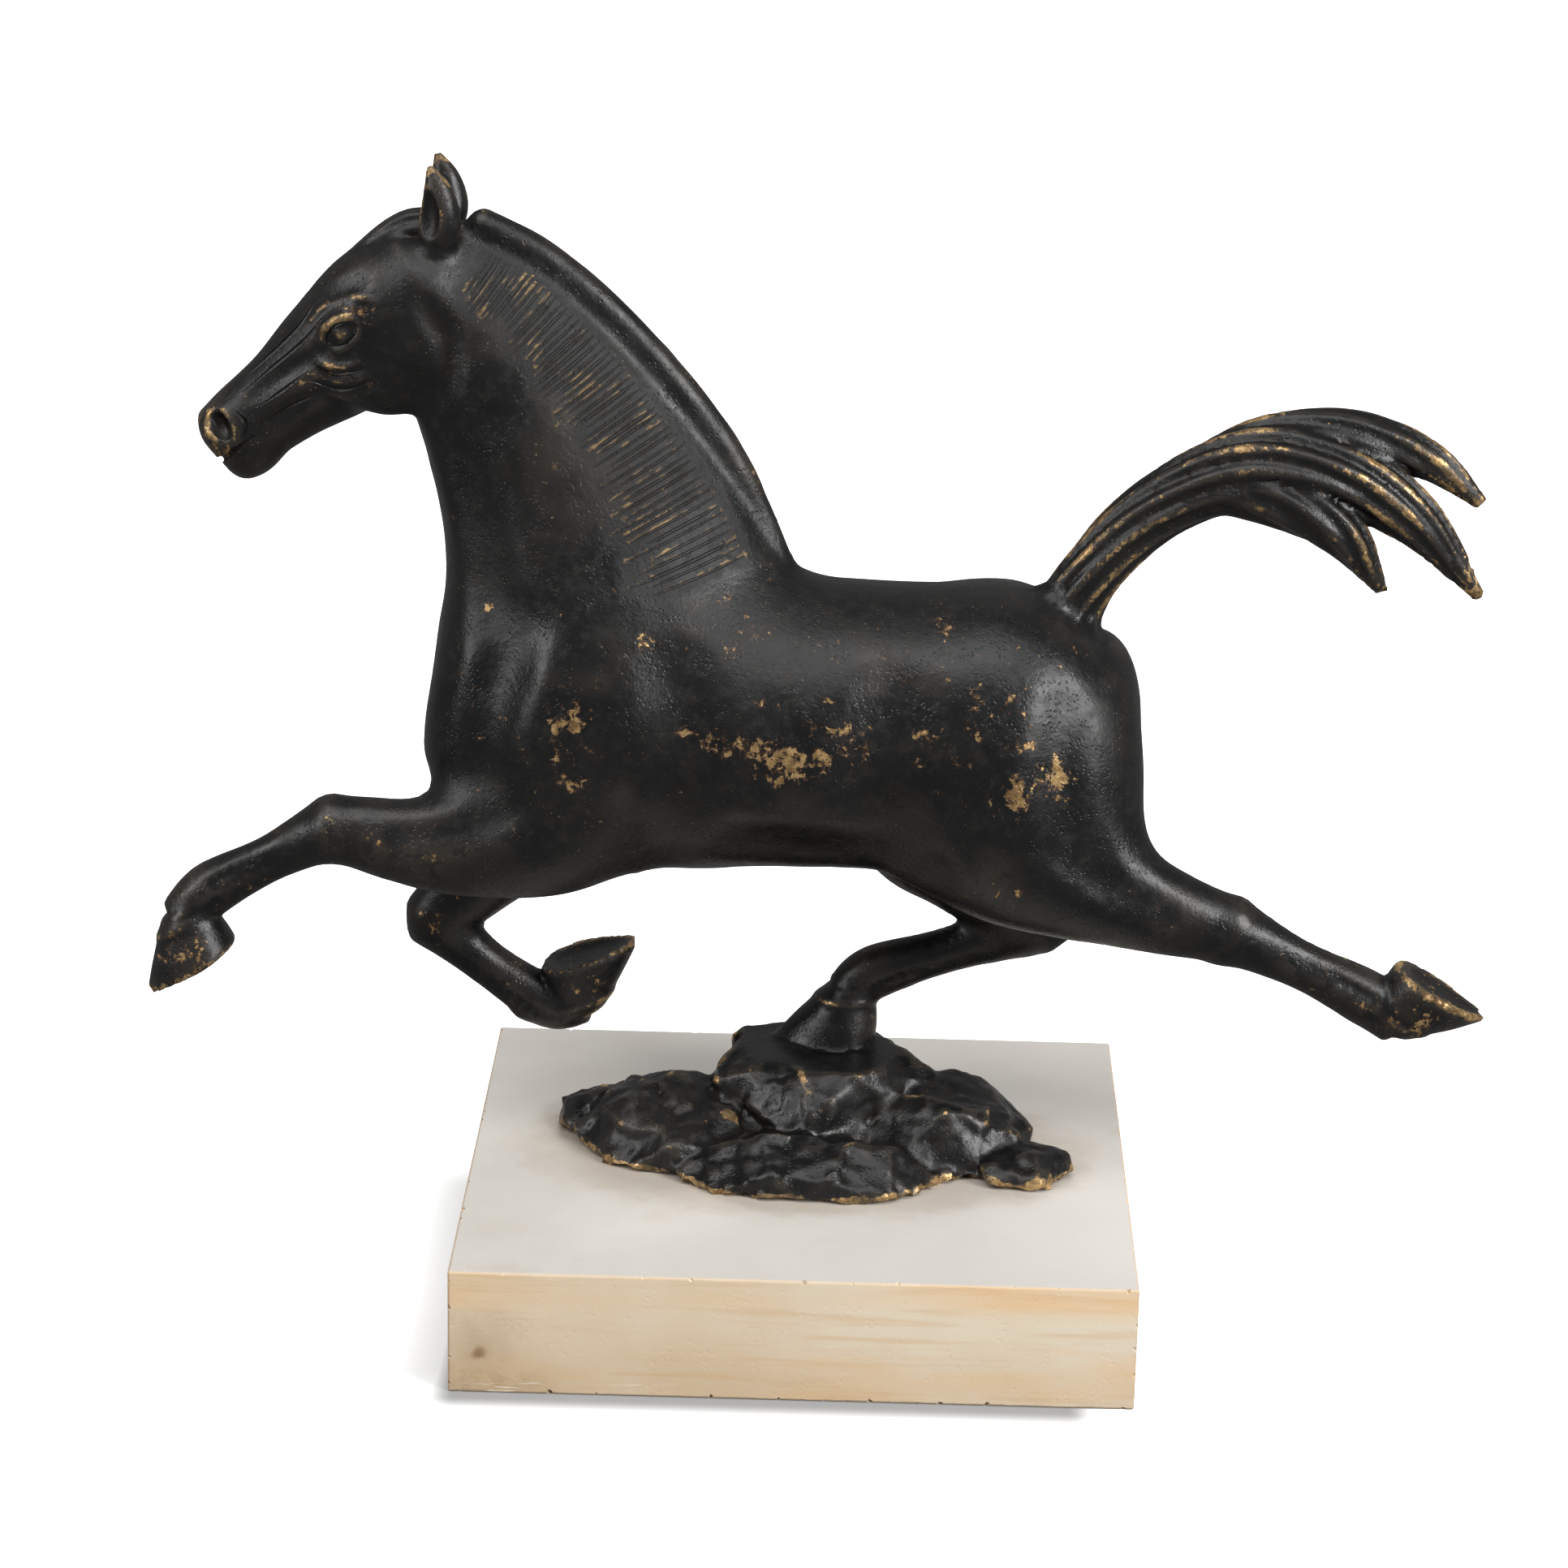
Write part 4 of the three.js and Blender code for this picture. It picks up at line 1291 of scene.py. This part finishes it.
def over_rubbing_level(where):
    """A fine grain, less the level that it has to pass to show gold. Rubbing lowers that level."""
    coarse = noise(where, 330.0, 6.0, roughness=0.62, distortion=0.5)
    fine = noise(where, 1100.0, 3.0, roughness=0.6)
    grains = plus(times(coarse, 0.65), times(fine, 0.35))
    return minus(grains, minus(0.68, times(marked(where, "rubbed"), 0.208)))


def patina(exposure, patches, specks, over_level):
    """The near-black patina, browner in hollows, lighter on edges for polishing wear with a painted sheen,
    and thin round the flecks of gold.
    """
    colour = mixed(patches, BRONZE["cold_black"], BRONZE["warm_black"])
    colour = mixed(times(specks, 0.3), colour, BRONZE["speck"])
    colour = mixed(times(ramped(exposure, -0.1, -0.6), 0.6), colour, BRONZE["hollow"])
    # Painted sheen: edges are made lighter, for the polishing wear of the patina and for the sheen it
    # catches.
    polish_and_painted_sheen = times(ramped(exposure, 0.08, 0.42), ramped(specks, 0.9, 0.1))
    colour = mixed(times(polish_and_painted_sheen, 0.6), colour, BRONZE["polish_and_painted_sheen"])
    return mixed(times(ramped(over_level, -0.045, -0.012), 0.8), colour, BRONZE["worn_thin"])


def bare_edges(where, exposure):
    """Where edges and the rock's foot are worn bare, as a broken mask."""
    above_foot = minus(axes(where)[2], PLINTH_TOP * MM)
    worn = plus(exposure, ramped(above_foot, 0.0032, 0.0002, 0.0, 0.75))
    worn = minus(worn, ramped(above_foot, 0.022, 0.018, 0.0, 0.2))
    edges = wear_and_shade_edge(where, worn, 0.5, 0.14, 520.0)
    grit = ramped(mottled(where, 1500.0, 3.0, 0.36, 0.52), 0, 1, 0.35, 1.0)
    broken = ramped(mottled(where, 240.0, 3.0, 0.38, 0.58), 0, 1, 0.3, 1.0)
    return times(edges, times(grit, broken))


def gold_places(where, exposure, patches, flecks):
    """Where gold shows: rubbed flecks, fine pricks, bare edges and the ridges of the mane's hatching."""
    pricks = times(mottled(where, 1700.0, 2.0, 0.7, 0.74), ramped(patches, 0.2, 0.9, 0.05, 0.45))
    ridges = times(ramped(marked(where, "carved"), 0.35, 0.75), mottled(where, 170.0, 6.0, 0.49, 0.64))
    return larger(larger(flecks, bare_edges(where, exposure)), larger(pricks, times(ridges, 0.48)))


def bronze():
    """Cast bronze under a near-black patina that is rubbed through to the gold in places."""
    material, shader, where = new_material("dark_patinated_bronze", Specular_IOR_Level=0.36)
    exposure = marked(where, "exposure")
    patches = mottled(where, 38.0, 5.0, 0.36, 0.66)
    specks = mottled(where, 420.0, 4.0, 0.45, 0.7)
    over_level = over_rubbing_level(where)
    flecks = ramped(over_level, 0.0, 0.014)
    bare = gold_places(where, exposure, patches, flecks)
    gold = mixed(mottled(where, 700.0, 3.0, 0.32, 0.68), BRONZE["dark_gold"], BRONZE["gold"])
    dull = plus(ramped(patches, 0, 1, 0.29, 0.4), times(specks, 0.1))
    dull = plus(dull, times(marked(where, "hatched"), 0.2))
    pits = placed(FINE_PITS, where, scale=1300.0, grain=1.6)
    relief = plus(pits, times(noise(where, 520.0, 3.0), 1.2))
    relief = minus(relief, times(flecks, 0.8))
    feed(shader, Base_Color=mixed(bare, patina(exposure, patches, specks, over_level), gold),
         Metallic=times(bare, 0.6), Roughness=dull, Normal=bumped(relief, 0.00007, 0.8))
    return material


# The stone

STONE = {
    "grey": (0.472, 0.443, 0.402),
    "light_grey": (0.515, 0.488, 0.453),
    "smudge": (0.42, 0.35, 0.27),
    "soiled": (0.36, 0.28, 0.2),
    "cream": (0.645, 0.53, 0.385),
    "light_cream": (0.685, 0.6, 0.475),
    "band": (0.72, 0.47, 0.235),
    "streak": (0.56, 0.35, 0.165),
    "stain": (0.31, 0.235, 0.15),
    # A darker tint towards the left, also used for painted shade towards the foot
    "left_tint_and_foot_shade": (0.44, 0.29, 0.15),
    "knot": (0.2, 0.11, 0.045),
    # Painted shade along the foot of the sides
    "painted_foot_shade": (0.2, 0.15, 0.1),
    "scuff": (0.72, 0.66, 0.56),
    "rim": (0.5, 0.36, 0.22),
}
# Where the knot lies, in metres
KNOT = (-0.0545, -0.0575, 0.0075)


def past_faces(where, low, high):
    """How far a point lies past a box's faces along each axis. The box's corners are in millimetres."""
    outward = vectors("ABSOLUTE", vectors("SUBTRACT", where, (low + high) / 2 * MM))
    return vectors("SUBTRACT", outward, (high - low) / 2 * MM)


def stone_arris(where):
    """How near a point of the plinth is to an arris, from 0 to 1."""
    x, y, z = axes(past_faces(where, stone_low, stone_high))
    largest = larger(larger(x, y), z)
    smallest = smaller(smaller(x, y), z)
    second = minus(minus(plus(plus(x, y), z), largest), smallest)
    return ramped(second, -1.8 * ARRIS * MM, -0.2 * ARRIS * MM)


def stone_top(where, cloud):
    """The pale honed top, with smudges, and soiled round the casting."""
    colour = mixed(cloud, STONE["grey"], STONE["light_grey"])
    smudge = mottled(where, 60.0, 5.0, 0.6, 0.78)
    colour = mixed(times(smudge, 0.3), colour, STONE["smudge"])
    shares = mapped(where, location=(-0.03, 0, 0), scale=(1 / 0.05, 1 / 0.028, 0))
    from_casting = vectors("LENGTH", shares, result="Value")
    soiled = wear_and_shade_edge(where, ramped(from_casting, 1.45, 0.85), 0.45, 0.6, 130.0)
    return mixed(times(soiled, 0.4), colour, STONE["soiled"])


def stone_bands(where, streaked, cloud):
    """The cream sides, with soft tan bands, one of them under the rim, and thin streaks."""
    flat = mapped(where, rotation=(0, 0.06, 0), scale=(0.3, 0.3, 2.2))
    under_rim = ramped(axes(where)[2], (PLINTH_TOP - 8) * MM, (PLINTH_TOP - 2.5) * MM)
    band = times(mottled(flat, 46.0, 5.0, 0.48, 0.7), 0.7)
    band = larger(band, times(under_rim, mottled(flat, 26.0, 4.0, 0.3, 0.6)))
    thin = mottled(streaked, 150.0, 4.0, 0.52, 0.68)
    colour = mixed(cloud, STONE["cream"], STONE["light_cream"])
    colour = mixed(times(band, 0.9), colour, STONE["band"])
    return mixed(times(thin, 0.34), colour, STONE["streak"])


def stains_and_foot_shade(where, cloud, colour):
    """The sides' stains, the knot with its halo and a soiled corner, then a darker tint to the left and
    painted shade at the foot.
    """
    x, _, height = axes(where)
    uneven = mottled(where, 260.0, 4.0, 0.2, 0.8)
    from_knot = vectors("DISTANCE", where, KNOT, result="Value")
    halo = ramped(plus(from_knot, times(uneven, 0.004)), 0.014, 0.001, 0, 0.55)
    haze = times(ramped(x, -0.032, -0.059), ramped(height, 0.0095, 0.001))
    haze = times(haze, ramped(uneven, 0, 1, 0.45, 1.0))
    colour = mixed(larger(halo, haze), colour, STONE["stain"])
    # Painted shade: the sides darken towards the foot as if lit from above. They are also tinted darker
    # towards the left.
    left_tint_and_foot_shade = plus(ramped(x, 0.055, -0.045, 0, 0.17), ramped(height, 0.017, 0, 0, 0.34))
    colour = mixed(times(left_tint_and_foot_shade, ramped(cloud, 1, 0, 0.7, 1)), colour, STONE["left_tint_and_foot_shade"])
    core = plus(from_knot, times(uneven, 0.0008))
    return mixed(ramped(core, 0.0021, 0.0007, 0, 0.75), colour, STONE["knot"])


def scuffs_and_foot_shade(where, streaked, colour):
    """A line of painted shade along the foot, and pale scuffs near the foot's left end."""
    x, _, height = axes(where)
    # Painted shade: a dark line along the foot of each side.
    painted_foot_shade = wear_and_shade_edge(where, ramped(height, 0.0011, 0.0001), 0.5, 0.3, 160.0)
    colour = mixed(times(painted_foot_shade, 0.55), colour, STONE["painted_foot_shade"])
    scuffs = mottled(streaked, 420.0, 3.0, 0.58, 0.66)
    near_corner = times(ramped(x, -0.012, -0.045), ramped(height, 0.0045, 0.0015))
    return mixed(times(scuffs, near_corner), colour, STONE["scuff"])


def stone():
    """Pale honed stone, cream at the sides, with soft tan bands, old stains, and painted shade along the
    sides' foot.
    """
    material, shader, where = new_material("pale_honed_stone", Specular_IOR_Level=0.36)
    cloud = mottled(where, 22.0, 6.0, 0.3, 0.7)
    streaked = mapped(where, rotation=(0, 0.09, 0), scale=(0.16, 0.16, 3.0))
    sides = scuffs_and_foot_shade(where, streaked, stains_and_foot_shade(where, cloud, stone_bands(where, streaked, cloud)))
    on_side = ramped(axes(where)[2], (PLINTH_TOP - 0.1 * ARRIS) * MM, (PLINTH_TOP - 0.5 * ARRIS) * MM)
    rim = wear_and_shade_edge(where, stone_arris(where), 0.55, 0.3, 240.0)
    colour = mixed(times(rim, 0.45), mixed(on_side, stone_top(where, cloud), sides), STONE["rim"])
    pits = placed(FINE_PITS, where, scale=900.0, grain=0.8)
    dull = ramped(cloud, 0, 1, 0.42, 0.54)
    feed(shader, Base_Color=colour, Roughness=dull, Normal=bumped(pits, 0.00004, 0.6))
    return material


# The plinth

CHIPS = {"Spacing": 0.004, "Smallest": 0.0003, "Largest": 0.00085, "Share": 0.6, "Seed": 7}


def plinth_box():
    """The plinth as one block with softened arrises."""
    mesh = bmesh.new()
    bmesh.ops.create_cube(mesh, size=1)
    half = (stone_high - stone_low) / 2
    middle = (stone_high + stone_low) / 2
    for vertex in mesh.verts:
        vertex.co = Vector((np.array(vertex.co) * 2 * half + middle) * MM)
    bmesh.ops.bevel(mesh, geom=mesh.edges[:], offset=ARRIS * MM, segments=6, profile=0.5, affect="EDGES")
    data = bpy.data.meshes.new("stone_block")
    mesh.to_mesh(data)
    mesh.free()
    return shown("stone_block", data)


def arris_guides():
    """The plinth's twelve arrises, as lines along the middle of their rounding."""
    guides = Guides()
    low, high = stone_low - 0.12 * ARRIS, stone_high + 0.12 * ARRIS
    for axis in range(3):
        for u, v in ((0, 0), (0, 1), (1, 0), (1, 1)):
            start = np.zeros(3)
            start[axis] = low[axis] + 2
            start[(axis + 1) % 3] = (low, high)[u][(axis + 1) % 3]
            start[(axis + 2) % 3] = (low, high)[v][(axis + 2) % 3]
            end = start.copy()
            end[axis] = high[axis] - 2
            line = np.linspace(start, end, 2)
            guides.stroke(line, np.zeros((2, 3)), 1, 1)
    return guides.mesh("arris_lines")


def chipped_plinth():
    block = plinth_box()
    cut(block, made_by(arris_chips(), arris_guides(), "chips", **CHIPS))
    return block


# Stage, lights and camera

# The shadows on the paper. Each box of shade starts inside the plinth's low and high corners, in millimetres,
# and has the width of its soft edge, and how light it is at the edge's start and end.
SHADOWS = [
    {"low": [1.2, -1.5, 0], "high": [11.8, 41.5, 0], "width": 9, "light": [0, 1]},
    {"low": [0, 9.5, 0], "high": [57, 28, 0], "width": 28, "light": [0.32, 1]},
]
# How light the paper is, and how strongly it glows, in the shade and in the light. The last value is how
# light it is for all but the camera, which sets how much it throws back on the object.
PAPER = {"shaded": 0.16, "lit": 0.55, "shaded_glow": 0.2, "glow": 1.1, "unseen": 0.14}
PAPER_REACH = 6.0


def shaded(where, shadow):
    """How light the paper is beside one box of shade."""
    past = past_faces(where, stone_low + shadow["low"], stone_high - shadow["high"])
    away = vectors("LENGTH", vectors("MAXIMUM", past, (0, 0, 0)), result="Value")
    return ramped(away, 0.0, shadow["width"] * MM, *shadow["light"])


def white_paper():
    """White paper, shaded close round the plinth, that throws little light back on the object."""
    material, shader, where = new_material("white_paper", Roughness=0.9, Specular_IOR_Level=0.0,
                                           Emission_Strength=1.0)
    seen = add_node(where.id_data, "ShaderNodeLightPath").outputs["Is Camera Ray"]
    lit = smaller(*(shaded(where, shadow) for shadow in SHADOWS))
    grey = {name: (level, level, level) for name, level in PAPER.items()}
    paper = mixed(seen, grey["unseen"], mixed(lit, grey["shaded"], grey["lit"]))
    glow = mixed(seen, (0, 0, 0), mixed(lit, grey["shaded_glow"], grey["glow"]))
    feed(shader, Base_Color=paper, Emission_Color=glow)
    return material


def floor():
    mesh = bpy.data.meshes.new("floor")
    corners = [(x * PAPER_REACH, y * PAPER_REACH, 0) for x, y in ((-1, -1), (1, -1), (1, 1), (-1, 1))]
    mesh.from_pydata(corners, [], [(0, 1, 2, 3)])
    mesh.materials.append(white_paper())
    shown("floor", mesh)


# The lights, with their places and aims in metres, sizes, and power in watts
LIGHTS = {
    "top_panel": {"place": (-0.15, -0.5, 1.2), "aim": (0, 0, 0.1), "size": (1.3, 0.8), "power": 11},
    "right_key": {"place": (1.1, -0.85, 0.7), "aim": (0.02, 0, 0.11), "size": (0.45, 0.9), "power": 25},
    "left_fill": {"place": (-1.2, -0.7, 0.7), "aim": (-0.03, 0, 0.11), "size": (0.3, 0.9), "power": 9.5},
    "back_fill": {"place": (0.1, 1.1, 0.8), "aim": (0, 0, 0.02), "size": (1.2, 0.8), "power": 14},
}
WORLD_STRENGTH = 0.2


def softbox(name, place, aim, size, power):
    """A flat light that faces its aim. The back fill is kept out of reflections."""
    light = bpy.data.lights.new(name, "AREA")
    light.shape = "RECTANGLE"
    light.size, light.size_y = size
    light.energy = power
    box = shown(name, light)
    box.location = place
    box.rotation_euler = (Vector(place) - Vector(aim)).to_track_quat("Z", "Y").to_euler()
    box.visible_glossy = name != "back_fill"


def studio():
    for name, light in LIGHTS.items():
        softbox(name, **light)
    world = bpy.data.worlds.new("studio")
    bpy.context.scene.world = world
    world.use_nodes = True
    background = world.node_tree.nodes["Background"]
    background.inputs["Color"].default_value = (1, 1, 1, 1)
    background.inputs["Strength"].default_value = WORLD_STRENGTH
    bpy.context.scene.view_settings.view_transform = "Standard"


# The photograph's camera: just right of straight ahead, looking down, and held slightly tilted. Angles are in
# radians, and the target and its distance in millimetres, as is the lens.
VIEW = {"azimuth": 0.015, "elevation": 0.3255, "roll": 0.0208, "target": (-4.24, 0, 94.37), "distance": 821.5,
        "lens": 104.72, "clip": (0.05, 30)}


def camera():
    azimuth, elevation, roll = VIEW["azimuth"], VIEW["elevation"], VIEW["roll"]
    level_back = Vector((math.sin(azimuth), -math.cos(azimuth), 0)) * math.cos(elevation)
    back = level_back + Vector((0, 0, math.sin(elevation)))
    right = (-back).cross(Vector((0, 0, 1))).normalized()
    up = right.cross(-back)
    level_right = math.cos(roll) * right + math.sin(roll) * up
    level_up = math.cos(roll) * up - math.sin(roll) * right
    lens = bpy.data.cameras.new("camera")
    lens.lens = VIEW["lens"]
    lens.clip_start, lens.clip_end = VIEW["clip"]
    eye = shown("camera", lens)
    turn = Matrix((level_right, level_up, back)).transposed().to_4x4()
    place = Vector(VIEW["target"]) * MM + back * VIEW["distance"] * MM
    eye.matrix_world = Matrix.Translation(place) @ turn
    bpy.context.scene.camera = eye


# Putting it together

def dress(piece, material, node):
    piece.data.materials.clear()
    piece.data.materials.append(material)
    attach(piece, "root")
    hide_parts(node)


def main():
    camera()
    wax = wax_model()
    press_furrows(wax)
    dress(carved_casting(wax), bronze(), "horse_casting")
    dress(chipped_plinth(), stone(), "stone_plinth")
    floor()
    studio()


main()
